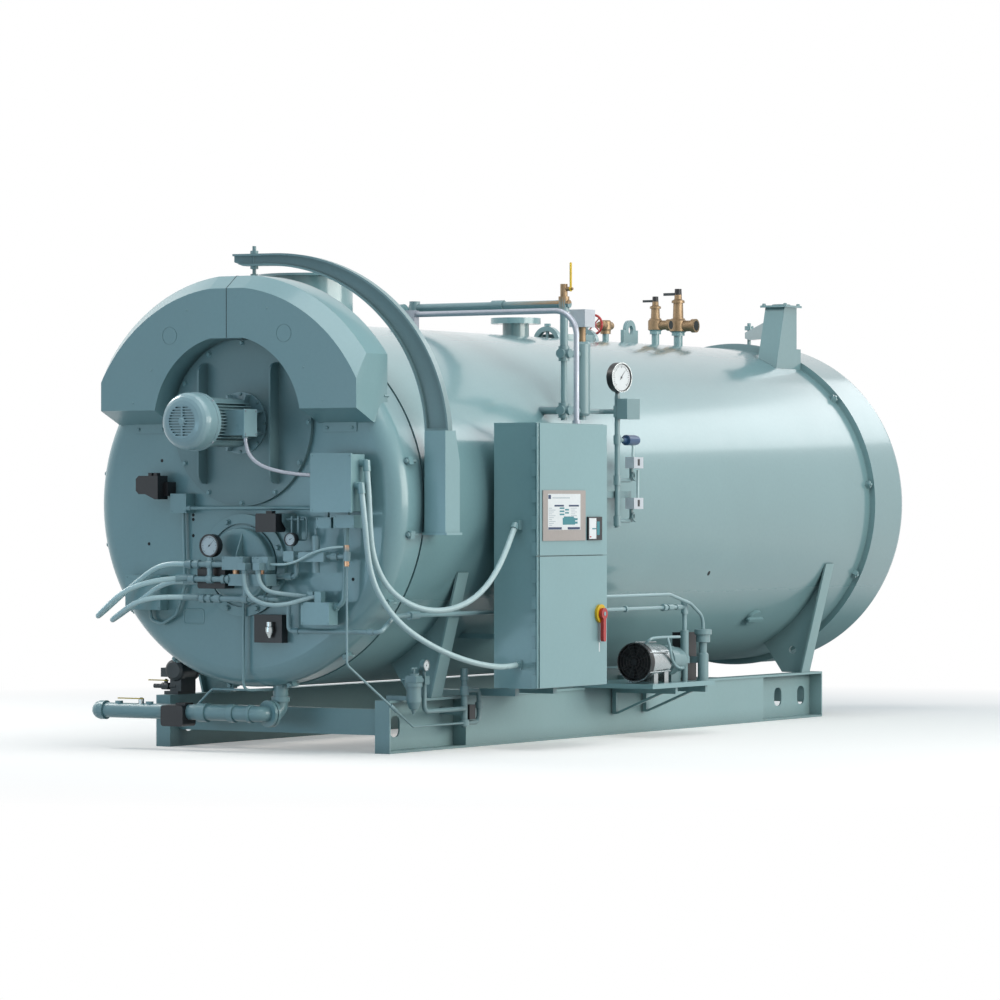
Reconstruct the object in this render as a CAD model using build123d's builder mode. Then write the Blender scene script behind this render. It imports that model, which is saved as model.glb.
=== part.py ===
"""Packaged fire-tube boiler on base rails, with a davit-hung front door that carries burner and blower.

Millimetres. +Z is up, the burner end faces -Y and the control cabinet stands on the +X side. The origin is
on the floor, in the middle of the anchor bolts of the two base rails.
"""
import os
from math import cos, radians, sin, sqrt, tan

from build123d import *

os.makedirs("parts", exist_ok=True)

# Fits
seat_gap = 0.3
pin_gap = 0.05
running_gap = 5.0

# Base rails: open channels at both ends, boxed in between by a cover plate
rail_length = 5400.0
rail_height = 305.0
rail_outer_x = 820.0
rail_flange_width = 100.0
rail_flange_thickness = 14.0
rail_web_thickness = 10.0
rail_end_plate = 12.0
rail_boxed_half = 1870.0
rail_cover_inset = 8.0
rail_cover_thickness = 10.0
rail_hole_width = 104.0
rail_hole_height = 122.0
rail_hole_corner = 42.0
rail_hole_z = 148.0
rail_hole_ys = (-2504.0, 2230.0, 2560.0)
anchor_spacing_y = 5000.0
anchor_hole_d = 22.0
anchor_from_web = 55.0
cross_member_height = 150.0
cross_member_width = 75.0
cross_member_wall = 10.0
cross_member_z = 175.0
cross_member_from_end = 90.0
rail_half = rail_length / 2
rail_web_x = rail_outer_x - rail_flange_width
rail_web_face_x = rail_web_x + rail_web_thickness

# Pressure vessel and its casing
shell_axis_z = 1435.0
shell_r = 1065.0
shell_wall = 60.0
shell_front_y = -2700.0
shell_rear_y = 2930.0
tube_sheet_thickness = 30.0
furnace_r = 400.0
furnace_drop = 355.0
rear_ring_overhang = 40.0
rear_ring_thickness = 45.0
rear_door_overhang = 33.0
rear_door_depth = 425.0
rear_door_edge_r = 60.0
rear_plug_r = 260.0
rear_plug_thickness = 24.0
gasket_thickness = 10.0
gasket_inset = 4.0
crown_z = shell_axis_z + shell_r
furnace_axis_z = shell_axis_z - furnace_drop

# Saddles
saddle_plate = 20.0
saddle_flange_width = 115.0
saddle_flange_thickness = 14.0
saddle_foot_inner_x = 640.0
saddle_foot_outer_x = 800.0
saddle_inner_share = 0.46
saddle_wrap_angle = 22.06
saddle_knee_rise = 215.0
saddle_hole_r = 26.0
saddle_hole_rise = 150.0
front_saddle_y = shell_front_y + 515.0
rear_saddle_y = shell_rear_y - 460.0
saddle_top_outer_x = shell_r * cos(radians(saddle_wrap_angle)) - 2.0
saddle_top_inner_x = saddle_inner_share * shell_r
saddle_top_z = shell_axis_z - shell_r * sin(radians(saddle_wrap_angle))

# Front door
door_wall = 12.0
door_depth = 270.0
door_edge_r = 110.0
door_lug_count = 16
door_lug_start = -99.5
door_lug_size = 44.0
door_lug_height = 24.0
door_lug_from_shell = 140.0
burner_throat_r = 237.0
throat_depth = 120.0
door_r = shell_r - 5.0
door_face_y = shell_front_y - door_depth

# Air inlet shroud over the upper half of the door
shroud_front_y = door_face_y - 185.0
shroud_skin_y = door_face_y - 80.0
shroud_rear_y = door_face_y + 140.0
shroud_axis_z = shell_axis_z + 237.0
shroud_face_r = door_r - 55.0
shroud_skin_r = door_r + 20.0
shroud_flat_drop = 7.0
shroud_face_top_z = shroud_axis_z + shroud_face_r - shroud_flat_drop
shroud_skin_top_z = shroud_axis_z + shroud_skin_r - shroud_flat_drop
shroud_side_x = door_r - 171.0
shroud_bottom_z = shell_axis_z + 540.0
shroud_heel_z = shell_axis_z + 460.0
shroud_arch_r = 512.0
shroud_arch_z = shell_axis_z + 450.0
shroud_arch_top_z = shroud_arch_z + 499.0
shroud_plug_x = 398.0
shroud_plug_z = shroud_axis_z + 733.0
shroud_plug_r = 52.0
shroud_plug_groove = 4.0
shroud_plug_groove_depth = 2.0
shroud_tab_inner_x = 545.0
shroud_tab_outer_x = 775.0
shroud_tab_height = 50.0
shroud_tab_thickness = 6.0

# Front davit
davit_x = shell_r + 90.0
davit_y = shell_front_y + 10.0
davit_pin_r = 35.0
davit_bracket_top = 1850.0
davit_bracket_bottom = 1270.0
davit_tip_y = door_face_y + 98.0
davit_tip_bottom_z = shroud_skin_top_z + 65.0
davit_tip_top_z = davit_tip_bottom_z + 70.0
davit_outer_r = davit_tip_top_z - davit_bracket_top + 60.0
davit_inner_r = davit_tip_bottom_z - davit_bracket_top + 40.0
davit_tip_overhang = 125.0
davit_bottom_flange_cutback = 70.0
davit_web = 14.0
davit_flange = 64.0
davit_flange_thickness = 12.0
hanger_top_z = davit_tip_top_z + 45.0
hanger_d = 22.0
hanger_nut_d = 44.0
hanger_nut_height = 18.0

# Blower on the door
blower_z = shell_axis_z + 465.0
blower_plate_r = 480.0
blower_plate_thickness = 28.0
blower_rib_x = 250.0
blower_rib_below = 350.0
blower_rib_above = 345.0
blower_rib_thickness = 12.0
blower_rib_depth = 86.0
blower_rib_corner = 60.0
motor_body_r = 122.0
motor_fin_r = 141.0
motor_fin_pitch = 18.0
motor_fin_thickness = 5.0
motor_side_fins = 6
motor_top_fins = 3
motor_cowl_r = 163.0
motor_cowl_depth = 142.0
motor_frame_depth = 395.0
motor_adapter_r = 178.0
motor_adapter_depth = 62.0
motor_adapter_plate = 14.0
motor_hub_r = 90.0
cowl_grille_r = 89.0
cowl_slot_pitch = 15.6
cowl_slot_height = 8.0
cowl_slot_depth = 14.0
cowl_slot_rows = 5
cowl_boss_r = 20.0
blower_face_y = door_face_y - blower_plate_thickness
adapter_y = blower_face_y - motor_adapter_depth
motor_cowl_rear_y = adapter_y - motor_frame_depth
motor_cowl_front_y = motor_cowl_rear_y - motor_cowl_depth

# Burner on the door
burner_plate_r = 295.0
burner_plate_thickness = 22.0
burner_groove_r = 242.0
burner_groove_width = 12.0
burner_groove_floor = 8.0
burner_drawer_r = 215.0
burner_drawer_depth = 70.0
burner_pipe_d = 34.0
burner_pipe_y = door_face_y - 210.0
fitting_d = 50.0
oil_supply_z = furnace_axis_z + 6.0
oil_return_z = furnace_axis_z - 78.0
atomising_z = furnace_axis_z - 190.0
gauge_1_x = -97.0
gauge_1_z = furnace_axis_z + 114.0
gauge_1_r = 66.0
gauge_2_x = 419.0
gauge_2_z = furnace_axis_z + 151.0
gauge_2_r = 38.0
burner_face_y = door_face_y - burner_plate_thickness
drawer_face_y = door_face_y - burner_drawer_depth

# Control cabinet
cabinet_back_x = shell_r + 50.0
cabinet_depth = 283.0
cabinet_front_y = -2035.0
cabinet_rear_y = -1254.0
cabinet_bottom_z = 362.0
cabinet_top_z = 1905.0
cabinet_wall = 6.0
cabinet_seam_z = 1131.0
cabinet_rail_half = 20.0
cabinet_door_thickness = 20.0
cabinet_door_margin = 4.0
cabinet_seam_half = 3.0
hinge_pin_r = 4.0
hinge_knuckle_r = 7.0
hinge_offset_y = 9.0
hinge_leaf = 3.0
hinge_knuckles = 10
handle_y = -1345.0
handle_z = 785.0
handle_disc_d = 110.0
handle_disc_thickness = 16.0
handle_stem_d = 24.0
handle_stem_length = 40.0
handle_hub_r = 34.0
handle_reach = 150.0
handle_width = 30.0
handle_thickness = 22.0
bezel_thickness = 6.0
cabinet_face_x = cabinet_back_x + cabinet_depth
cabinet_door_x = cabinet_face_x + running_gap
cabinet_skin_x = cabinet_door_x + cabinet_door_thickness
hinge_x = cabinet_door_x + cabinet_door_thickness / 2
hinge_y = cabinet_front_y - hinge_offset_y

# Top of the vessel
stack_y = -2300.0
stack_rise = 282.0
stack_flange_r = 305.0
stack_flange_thickness = 14.0
stack_neck_r = 258.0
stack_neck_wall = 8.0
stack_bolt_count = 12
stack_bolt_pcd = 560.0
stack_hole_d = 16.0
steam_y = 55.0
steam_rise = 112.0
steam_flange_d = 318.0
steam_flange_thickness = 37.0
steam_bore_d = 154.0
steam_pipe_d = 168.0
steam_bolt_pcd = 270.0
steam_bolt_count = 12
steam_hole_d = 22.0
root_depth = 60.0
lug_ys = (-1280.0, 1510.0)
lug_eye_rise = 85.0
lug_eye_r = 30.0
lug_outer_r = 66.0
lug_base = 190.0
lug_thickness = 24.0
manway_y = 690.0
manway_half_x = 170.0
manway_half_y = 225.0
manway_rise = 25.0
manway_yoke_from_middle = 240.0
manway_yoke_r = 96.0
manway_yoke_bore_r = 66.0
manway_yoke_width = 40.0
stack_top_z = crown_z + stack_rise
steam_top_z = crown_z + steam_rise

# Water column, pressure manifold and compressor at the right side
column_pipe_d = 48.0
column_pipe_y = -1141.0
column_top_rise = 132.0
column_mid_drop = 165.0
column_low_drop = 505.0
column_y = -925.0
column_r = 50.0
cross_d = 66.0
manifold_y = -705.0
manifold_d = 33.0
manifold_low_z = 1290.0
manifold_high_z = 2090.0
strut_z = 1491.0
shelf_thickness = 29.0
compressor_axis_rise = 132.0
column_pipe_x = shell_r - 5.0
manifold_x = shell_r + 113.0
column_top_z = crown_z + column_top_rise
column_mid_z = crown_z - column_mid_drop
column_low_z = crown_z - column_low_drop
shelf_z = rail_height + shelf_thickness
shelf_outer_x = shell_r + 235.0
compressor_x = shell_r + 88.0
compressor_z = shelf_z + compressor_axis_rise
filter_x = shell_r + 193.0
filter_y = 230.0
check_valve_x = shell_r + 139.0
check_valve_y = 90.0

# Air line along the right side, clear of the front saddle's flange
air_pipe_z = 797.0
air_pipe_d = 27.0
air_pipe_clearance = 46.3
saddle_flange_slope = (saddle_top_outer_x - saddle_foot_outer_x) / (saddle_top_z - rail_height)
air_pipe_x = (
    saddle_foot_outer_x + saddle_flange_thickness
    + saddle_flange_slope * (air_pipe_z - rail_height) + air_pipe_clearance
)

# Ball valves
stem_r = 8.0

# Flexible lines: points that each one passes, from fitting to fitting. The two conduits from door to cabinet
# give the first value as a share of the way across.
conduit_d = 34.0
whip_d = 24.0
oil_hose_d = 30.0
lead_d = 26.0
box_right_x = 870.0
conduit_start_x = box_right_x + 37.0
conduit_end_x = cabinet_back_x + 164.0
upper_conduit_route = [
    (conduit_start_x + share * (conduit_end_x - conduit_start_x), y, z)
    for share, y, z in (
        (0.000, -3070, 1618), (0.019, -3066, 1510), (0.030, -3062, 1395), (0.040, -3060, 1280),
        (0.062, -3050, 1165), (0.116, -3025, 1060), (0.210, -2985, 968), (0.331, -2925, 898),
        (0.465, -2845, 850), (0.599, -2750, 826), (0.728, -2650, 828), (0.847, -2550, 855),
        (0.941, -2455, 905), (1.003, -2365, 975), (1.030, -2280, 1060), (1.030, -2200, 1150),
        (1.013, -2134, 1228), (1.000, -2082, 1287),
    )
]
lower_conduit_route = [
    (conduit_start_x + share * (conduit_end_x - conduit_start_x), y, z)
    for share, y, z in (
        (0.000, -3125, 1490), (0.029, -3121, 1390), (0.045, -3113, 1285), (0.052, -3100, 1180),
        (0.066, -3082, 1075), (0.110, -3055, 975), (0.189, -3022, 890), (0.291, -2985, 812),
        (0.420, -2925, 735), (0.549, -2845, 672), (0.661, -2750, 620), (0.759, -2650, 578),
        (0.840, -2545, 545), (0.908, -2440, 520), (0.961, -2335, 503), (0.992, -2232, 494),
        (1.003, -2140, 494), (1.000, -2061, 499),
    )
]
motor_whip_route = [
    (225, -3291, 1806), (231, -3289, 1758), (249, -3284, 1713), (281, -3275, 1675), (326, -3262, 1647),
    (380, -3246, 1628), (437, -3226, 1614), (492, -3203, 1605), (541, -3179, 1599), (584, -3158, 1597),
]
upper_hose_route = [
    (-268, -3180, 1086), (-340, -3179, 1089), (-412, -3170, 1084), (-484, -3152, 1068), (-555, -3130, 1041),
    (-622, -3116, 1004), (-692, -3111, 961), (-744, -3120, 915), (-783, -3153, 868), (-803, -3205, 826),
    (-801, -3268, 797), (-779, -3332, 783), (-738, -3388, 789), (-685, -3427, 812), (-628, -3444, 850),
    (-576, -3435, 896), (-520, -3414, 935), (-462, -3380, 965), (-405, -3336, 985), (-352, -3287, 998),
    (-300, -3236, 1004),
]
lower_hose_route = [
    (-330, -3100, 985), (-392, -3100, 985), (-452, -3102, 975), (-510, -3105, 953), (-564, -3109, 920),
    (-621, -3116, 881), (-666, -3146, 841), (-693, -3196, 804), (-699, -3258, 777), (-681, -3322, 763),
    (-644, -3378, 765), (-593, -3419, 782), (-535, -3437, 812), (-478, -3430, 851), (-424, -3410, 877),
    (-372, -3378, 892), (-325, -3337, 898), (-282, -3294, 899), (-240, -3250, 898),
]
first_lead_route = [
    (172, -3222, 1036), (175, -3224, 985), (197, -3230, 930), (245, -3238, 889), (312, -3234, 864),
    (385, -3212, 856), (455, -3170, 868), (514, -3128, 892), (566, -3090, 905),
]
second_lead_route = [
    (262, -3215, 1036), (267.5, -3215, 1001), (283.5, -3212, 970), (308, -3204, 945), (339, -3188, 930),
    (374, -3165, 924), (412, -3138, 919), (452, -3110, 913), (498, -3080, 908),
]


def block(x0, x1, y0, y1, z0, z1, mode=Mode.ADD):
    """Rectangular block between two corners."""
    with Locations(((x0 + x1) / 2, (y0 + y1) / 2, (z0 + z1) / 2)):
        Box(abs(x1 - x0), abs(y1 - y0), abs(z1 - z0), mode=mode)


def case(x0, x1, y0, y1, z0, z1, corner):
    """Box with rounded corners in the front view."""
    with BuildSketch(Plane.XZ.offset(-y1)) as outline:
        with Locations(((x0 + x1) / 2, (z0 + z1) / 2)):
            RectangleRounded(x1 - x0, z1 - z0, corner)
    extrude(outline.sketch, amount=y1 - y0)


def rod(start, end, diameter, mode=Mode.ADD):
    """Round bar from one point to another."""
    run = Vector(end) - Vector(start)
    with Locations(Plane(origin=start, z_dir=run)):
        Cylinder(diameter / 2, run.length, align=(Align.CENTER, Align.CENTER, Align.MIN), mode=mode)


def turned(start, direction, outline):
    """Turned body: its outline as radius and distance from a point along a direction."""
    along = Vector(*direction).normalized()
    across = Vector(1, 0, 0) if abs(along.Z) > 0.9 else along.cross(Vector(0, 0, 1)).normalized()
    corners = [(0, outline[0][1])] + list(outline) + [(0, outline[-1][1])]
    with BuildSketch(Plane(origin=start, x_dir=across, z_dir=across.cross(along))) as half:
        with BuildLine():
            Polyline(*corners, close=True)
        make_face()
    revolve(half.sketch, axis=Axis(start, (along.X, along.Y, along.Z)))


def pipe(points, diameter, bend):
    """Round pipe along straight runs joined by bends of one radius."""
    with BuildLine() as route:
        FilletPolyline(*points, radius=bend)
    with BuildSketch(Plane(origin=points[0], z_dir=Vector(*points[1]) - Vector(*points[0]))) as section:
        Circle(diameter / 2)
    sweep(section.sketch, path=route.line)


def cord(points, diameter):
    """Flexible tube whose bends are as large as the runs beside them allow. Returns the bend radii."""
    corners = [Vector(*point) for point in points]
    radii = []
    for before, corner, after in zip(corners, corners[1:], corners[2:]):
        turn = radians((corner - before).get_angle(after - corner))
        shorter = min((corner - before).length, (after - corner).length)
        radii.append(0.45 * shorter / tan(turn / 2))
    with BuildLine() as route:
        FilletPolyline(*points, radius=radii)
    with BuildSketch(Plane(origin=points[0], z_dir=corners[1] - corners[0])) as section:
        Circle(diameter / 2)
    sweep(section.sketch, path=route.line)
    return radii


def gland(before, end, diameter, length):
    """Fitting that takes a flexible tube's end, in line with its last run."""
    along = (Vector(*end) - Vector(*before)).normalized()
    rod(Vector(*end) + along * seat_gap, Vector(*end) + along * length, diameter)


def clear_of_shell():
    """Cuts the piece being built back from the curved casing, with a seat gap."""
    length = shell_rear_y - shell_front_y
    middle = (shell_rear_y + shell_front_y) / 2
    with Locations(Plane(origin=(0, middle, shell_axis_z), z_dir=(0, 1, 0))):
        Cylinder(shell_r + seat_gap, length, mode=Mode.SUBTRACT)


def shell_x(z):
    """Half width of the casing at a height."""
    return sqrt(shell_r**2 - (z - shell_axis_z) ** 2)


def finish(piece, name):
    """Labels a finished piece and writes it."""
    piece.part.label = name
    export_step(piece.part, f"parts/{name}.step")


# Base rails: channels with the toes outward, end plates, hand holes in the web and a cover plate between
for side, side_name in ((1, "right"), (-1, "left")):
    with BuildPart() as base_rail:
        inner = side * rail_web_x
        outer = side * rail_outer_x
        cover = side * (rail_outer_x - rail_cover_inset)
        block(inner, inner + side * rail_web_thickness, -rail_half, rail_half, 0, rail_height)
        block(inner, outer, -rail_half, rail_half, 0, rail_flange_thickness)
        block(inner, outer, -rail_half, rail_half, rail_height - rail_flange_thickness, rail_height)
        for end in (-1, 1):
            block(inner, outer, end * rail_half, end * (rail_half - rail_end_plate), 0, rail_height)
        block(inner, outer, -rail_boxed_half, rail_end_plate - rail_boxed_half, 0, rail_height)
        block(cover - side * rail_cover_thickness, cover, -rail_boxed_half, rail_boxed_half, 0, rail_height)
        with BuildSketch(Plane.YZ.offset(min(inner, inner + side * rail_web_thickness) - 1)) as hand_holes:
            with Locations(*[(y, rail_hole_z) for y in rail_hole_ys]):
                RectangleRounded(rail_hole_width, rail_hole_height, rail_hole_corner)
        extrude(hand_holes.sketch, amount=rail_web_thickness + 2, mode=Mode.SUBTRACT)
        anchor_x = side * (rail_web_x + anchor_from_web)
        with Locations((anchor_x, -anchor_spacing_y / 2), (anchor_x, anchor_spacing_y / 2)):
            Cylinder(anchor_hole_d / 2, 3 * rail_flange_thickness, mode=Mode.SUBTRACT)
    finish(base_rail, f"base_rail_{side_name}")

# Cross members: channels let in between the two rail webs
with BuildPart() as base_cross_members:
    low = cross_member_z - cross_member_height / 2
    high = cross_member_z + cross_member_height / 2
    for y in (cross_member_from_end - rail_half, 0, rail_half - cross_member_from_end):
        block(-rail_web_x, rail_web_x, y, y + cross_member_wall, low, high)
        block(-rail_web_x, rail_web_x, y, y + cross_member_width, low, low + cross_member_wall)
        block(-rail_web_x, rail_web_x, y, y + cross_member_width, high - cross_member_wall, high)
finish(base_cross_members, "base_cross_members")

# Saddles: a web plate on each rail with a sloping flange on its outer edge, cut to the casing
for saddle_y, saddle_name in ((front_saddle_y, "front_saddles"), (rear_saddle_y, "rear_saddles")):
    with BuildPart() as saddles:
        for side in (1, -1):
            with BuildSketch(Plane.XZ.offset(-saddle_y)) as web:
                with BuildLine():
                    Polyline(
                        (side * saddle_foot_inner_x, rail_height),
                        (side * saddle_foot_outer_x, rail_height),
                        (side * saddle_top_outer_x, saddle_top_z),
                        (side * saddle_top_inner_x, saddle_top_z),
                        (side * saddle_top_inner_x, rail_height + saddle_knee_rise),
                        close=True,
                    )
                make_face()
                with Locations((side * (saddle_foot_inner_x + saddle_foot_outer_x) / 2,
                                rail_height + saddle_hole_rise)):
                    Circle(saddle_hole_r, mode=Mode.SUBTRACT)
            extrude(web.sketch, amount=saddle_plate / 2, both=True)
            with BuildSketch(Plane.XZ.offset(-saddle_y)) as flange:
                with BuildLine():
                    Polyline(
                        (side * saddle_foot_outer_x, rail_height),
                        (side * (saddle_foot_outer_x + saddle_flange_thickness), rail_height),
                        (side * (saddle_top_outer_x + saddle_flange_thickness), saddle_top_z),
                        (side * saddle_top_outer_x, saddle_top_z),
                        close=True,
                    )
                make_face()
            extrude(flange.sketch, amount=saddle_flange_width / 2, both=True)
        clear_of_shell()
    finish(saddles, saddle_name)

# Shell: the insulated casing, a tube that the tube sheet and the rear door close
with BuildPart() as shell:
    with Locations(Plane(origin=(0, shell_front_y, shell_axis_z), z_dir=(0, 1, 0))):
        Cylinder(shell_r, shell_rear_y - shell_front_y, align=(Align.CENTER, Align.CENTER, Align.MIN))
        Cylinder(
            shell_r - shell_wall,
            shell_rear_y - shell_front_y,
            align=(Align.CENTER, Align.CENTER, Align.MIN),
            mode=Mode.SUBTRACT,
        )
finish(shell, "shell")

# Front tube sheet: the disc that the opened door shows, with the furnace mouth
with BuildPart() as front_tube_sheet:
    with BuildSketch(Plane.XZ.offset(-shell_front_y)) as sheet:
        with Locations((0, shell_axis_z)):
            Circle(shell_r - shell_wall - seat_gap)
        with Locations((0, furnace_axis_z)):
            Circle(furnace_r, mode=Mode.SUBTRACT)
    extrude(sheet.sketch, amount=-tube_sheet_thickness)
finish(front_tube_sheet, "front_tube_sheet")

# Gasket ring between the shell and the front door
with BuildPart() as door_gasket:
    with BuildSketch(Plane.XZ.offset(-shell_front_y)) as ring:
        with Locations((0, shell_axis_z)):
            Circle(door_r - gasket_inset)
            Circle(shell_r - shell_wall, mode=Mode.SUBTRACT)
    extrude(ring.sketch, amount=gasket_thickness)
finish(door_gasket, "door_gasket")

# Rear flange ring and rear door
with BuildPart() as rear_flange_ring:
    with BuildSketch(Plane.XZ.offset(-shell_rear_y)) as ring:
        with Locations((0, shell_axis_z)):
            Circle(shell_r + rear_ring_overhang)
            Circle(shell_r - shell_wall, mode=Mode.SUBTRACT)
    extrude(ring.sketch, amount=-rear_ring_thickness)
finish(rear_flange_ring, "rear_flange_ring")

rear_door_y = shell_rear_y + rear_ring_thickness
rear_door_back_y = rear_door_y + rear_door_depth
rear_door_r = shell_r + rear_door_overhang
with BuildPart() as rear_door:
    with BuildSketch(Plane.YZ) as half_section:
        with BuildLine():
            rim = shell_axis_z + rear_door_r
            Line((rear_door_y, shell_axis_z), (rear_door_y, rim))
            Line((rear_door_y, rim), (rear_door_back_y - rear_door_edge_r, rim))
            RadiusArc((rear_door_back_y - rear_door_edge_r, rim), (rear_door_back_y, rim - rear_door_edge_r),
                      rear_door_edge_r)
            Line((rear_door_back_y, rim - rear_door_edge_r), (rear_door_back_y, shell_axis_z))
            Line((rear_door_back_y, shell_axis_z), (rear_door_y, shell_axis_z))
        make_face()
    revolve(half_section.sketch, axis=Axis((0, 0, shell_axis_z), (0, 1, 0)))
    turned((0, rear_door_back_y, furnace_axis_z), (0, 1, 0),
           [(rear_plug_r, 0), (rear_plug_r, rear_plug_thickness),
            (rear_plug_r - 60, rear_plug_thickness + 6)])
finish(rear_door, "rear_door")

# Rear davit: a tapered box post with a stepped back, its cap and boss, and a short tapered arm
rear_post_inner_x = 392.0
rear_post_outer_x = 540.0
rear_post_x = (rear_post_inner_x + rear_post_outer_x) / 2
rear_pivot_y = shell_rear_y - 152.0
rear_hanger_y = rear_door_y + 213.0
rear_cap_z = crown_z + 270.0
rear_cap_overhang = 26.0
with BuildPart() as rear_davit:
    with BuildSketch(Plane.YZ.offset(rear_post_inner_x)) as post:
        with BuildLine():
            Polyline(
                (shell_rear_y - 385, crown_z - 220),
                (rear_pivot_y - 88, rear_cap_z),
                (rear_pivot_y + 87, rear_cap_z),
                (rear_pivot_y + 87, crown_z - 10),
                (shell_rear_y - 5, crown_z - 10),
                (shell_rear_y - 5, crown_z - 220),
                close=True,
            )
        make_face()
    extrude(post.sketch, amount=rear_post_outer_x - rear_post_inner_x)
    block(rear_post_inner_x - rear_cap_overhang, rear_post_outer_x + rear_cap_overhang,
          rear_pivot_y - 88 - rear_cap_overhang, rear_pivot_y + 87 + rear_cap_overhang, rear_cap_z,
          rear_cap_z + 14)
    turned((rear_post_x, rear_pivot_y, rear_cap_z + 14), (0, 0, 1), [(64, 0), (64, 7), (58, 10)])
    arm_run = Vector(-rear_post_x, rear_hanger_y - rear_pivot_y, 0)
    arm_normal = arm_run.cross(Vector(0, 0, 1))
    with BuildSketch(Plane(origin=(rear_post_x, rear_pivot_y, 0), x_dir=arm_run, z_dir=arm_normal)) as arm:
        with BuildLine():
            Polyline(
                (0, crown_z + 70),
                (arm_run.length - 60, crown_z + 70),
                (arm_run.length + 30, crown_z + 85),
                (arm_run.length + 30, crown_z + 125),
                (60, crown_z + 215),
                (0, crown_z + 215),
                close=True,
            )
        make_face()
    extrude(arm.sketch, amount=20, both=True)
    rod((0, rear_hanger_y, shell_axis_z + rear_door_r + seat_gap), (0, rear_hanger_y, crown_z + 190), 26)
    rod((0, rear_hanger_y, crown_z + 140), (0, rear_hanger_y, crown_z + 170), 60)
    clear_of_shell()
finish(rear_davit, "rear_davit")

# Front davit bracket: the socket on the casing that takes the davit pin, narrowed towards its top
bracket_half = 70.0
bracket_front = 55.0
bracket_taper = 180.0
with BuildPart() as davit_bracket:
    with BuildSketch(Plane.YZ.offset(davit_x - bracket_half)) as column:
        with BuildLine():
            Polyline(
                (davit_y - bracket_front, davit_bracket_bottom),
                (davit_y - bracket_front, davit_bracket_top),
                (davit_y + bracket_front, davit_bracket_top),
                (davit_y + bracket_half + 30, davit_bracket_top - bracket_taper),
                (davit_y + bracket_half + 30, davit_bracket_bottom),
                close=True,
            )
        make_face()
    extrude(column.sketch, amount=2 * bracket_half)
    block(davit_x - 315, davit_x - bracket_half + 10, davit_y + 15, davit_y + bracket_half + 30,
          davit_bracket_bottom + 20, davit_bracket_top - bracket_taper)
    block(davit_x - bracket_half - 12, davit_x + bracket_half + 12, davit_y - bracket_front - 5,
          davit_y + bracket_half + 38, davit_bracket_bottom - 14, davit_bracket_bottom)
    rod((davit_x, davit_y, davit_bracket_bottom + 40), (davit_x, davit_y, davit_bracket_top + 1),
        2 * (davit_pin_r + pin_gap), mode=Mode.SUBTRACT)
    clear_of_shell()
finish(davit_bracket, "davit_bracket")

# Lifting lugs on the crown
with BuildPart() as lifting_lugs:
    for lug_y in lug_ys:
        with BuildSketch(Plane.YZ.offset(-lug_thickness / 2)) as lug:
            with Locations((lug_y, crown_z + lug_eye_rise / 2 - 12)):
                Rectangle(lug_base, lug_eye_rise + 25)
            with Locations((lug_y, crown_z + lug_eye_rise)):
                Circle(lug_outer_r)
                Circle(lug_eye_r, mode=Mode.SUBTRACT)
        extrude(lug.sketch, amount=lug_thickness)
    clear_of_shell()
finish(lifting_lugs, "lifting_lugs")

# Flue gas outlet on the crown
with BuildPart() as stack_outlet:
    with BuildSketch(Plane.XY.offset(stack_top_z)) as flange:
        with Locations((0, stack_y)):
            Circle(stack_flange_r)
            Circle(stack_neck_r - stack_neck_wall, mode=Mode.SUBTRACT)
            with PolarLocations(stack_bolt_pcd / 2, stack_bolt_count):
                Circle(stack_hole_d / 2, mode=Mode.SUBTRACT)
    extrude(flange.sketch, amount=-stack_flange_thickness)
    with BuildSketch(Plane.XY.offset(stack_top_z - stack_flange_thickness)) as neck:
        with Locations((0, stack_y)):
            Circle(stack_neck_r)
            Circle(stack_neck_r - stack_neck_wall, mode=Mode.SUBTRACT)
    extrude(neck.sketch, amount=-stack_rise - stack_neck_r)
    clear_of_shell()
finish(stack_outlet, "stack_outlet")

# Steam nozzle with its flange
with BuildPart() as steam_nozzle:
    with BuildSketch(Plane.XY.offset(steam_top_z)) as flange:
        with Locations((0, steam_y)):
            Circle(steam_flange_d / 2)
            Circle(steam_bore_d / 2, mode=Mode.SUBTRACT)
            with PolarLocations(steam_bolt_pcd / 2, steam_bolt_count):
                Circle(steam_hole_d / 2, mode=Mode.SUBTRACT)
    extrude(flange.sketch, amount=-steam_flange_thickness)
    with BuildSketch(Plane.XY.offset(steam_top_z - steam_flange_thickness)) as neck:
        with Locations((0, steam_y)):
            Circle(steam_pipe_d / 2)
            Circle(steam_bore_d / 2, mode=Mode.SUBTRACT)
    extrude(neck.sketch, amount=-steam_rise - root_depth)
    clear_of_shell()
finish(steam_nozzle, "steam_nozzle")

# Manway: an oval collar with its cover and two arched yokes
with BuildPart() as manway:
    with BuildSketch(Plane.XY.offset(crown_z - root_depth)) as collar:
        with Locations((0, manway_y)):
            Ellipse(manway_half_x, manway_half_y)
    extrude(collar.sketch, amount=root_depth + manway_rise)
    for yoke_y in (manway_y - manway_yoke_from_middle, manway_y + manway_yoke_from_middle):
        with BuildSketch(Plane.XZ.offset(-yoke_y - manway_yoke_width / 2)) as yoke:
            with Locations((0, crown_z - 22)):
                Circle(manway_yoke_r)
                Circle(manway_yoke_bore_r, mode=Mode.SUBTRACT)
            with Locations((0, crown_z - manway_yoke_r)):
                Rectangle(3 * manway_yoke_r, 1.6 * manway_yoke_r, mode=Mode.SUBTRACT)
        extrude(yoke.sketch, amount=manway_yoke_width)
        rod((0, yoke_y, crown_z - 20), (0, yoke_y, crown_z + 90), 24)
    clear_of_shell()
finish(manway, "manway")

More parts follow.
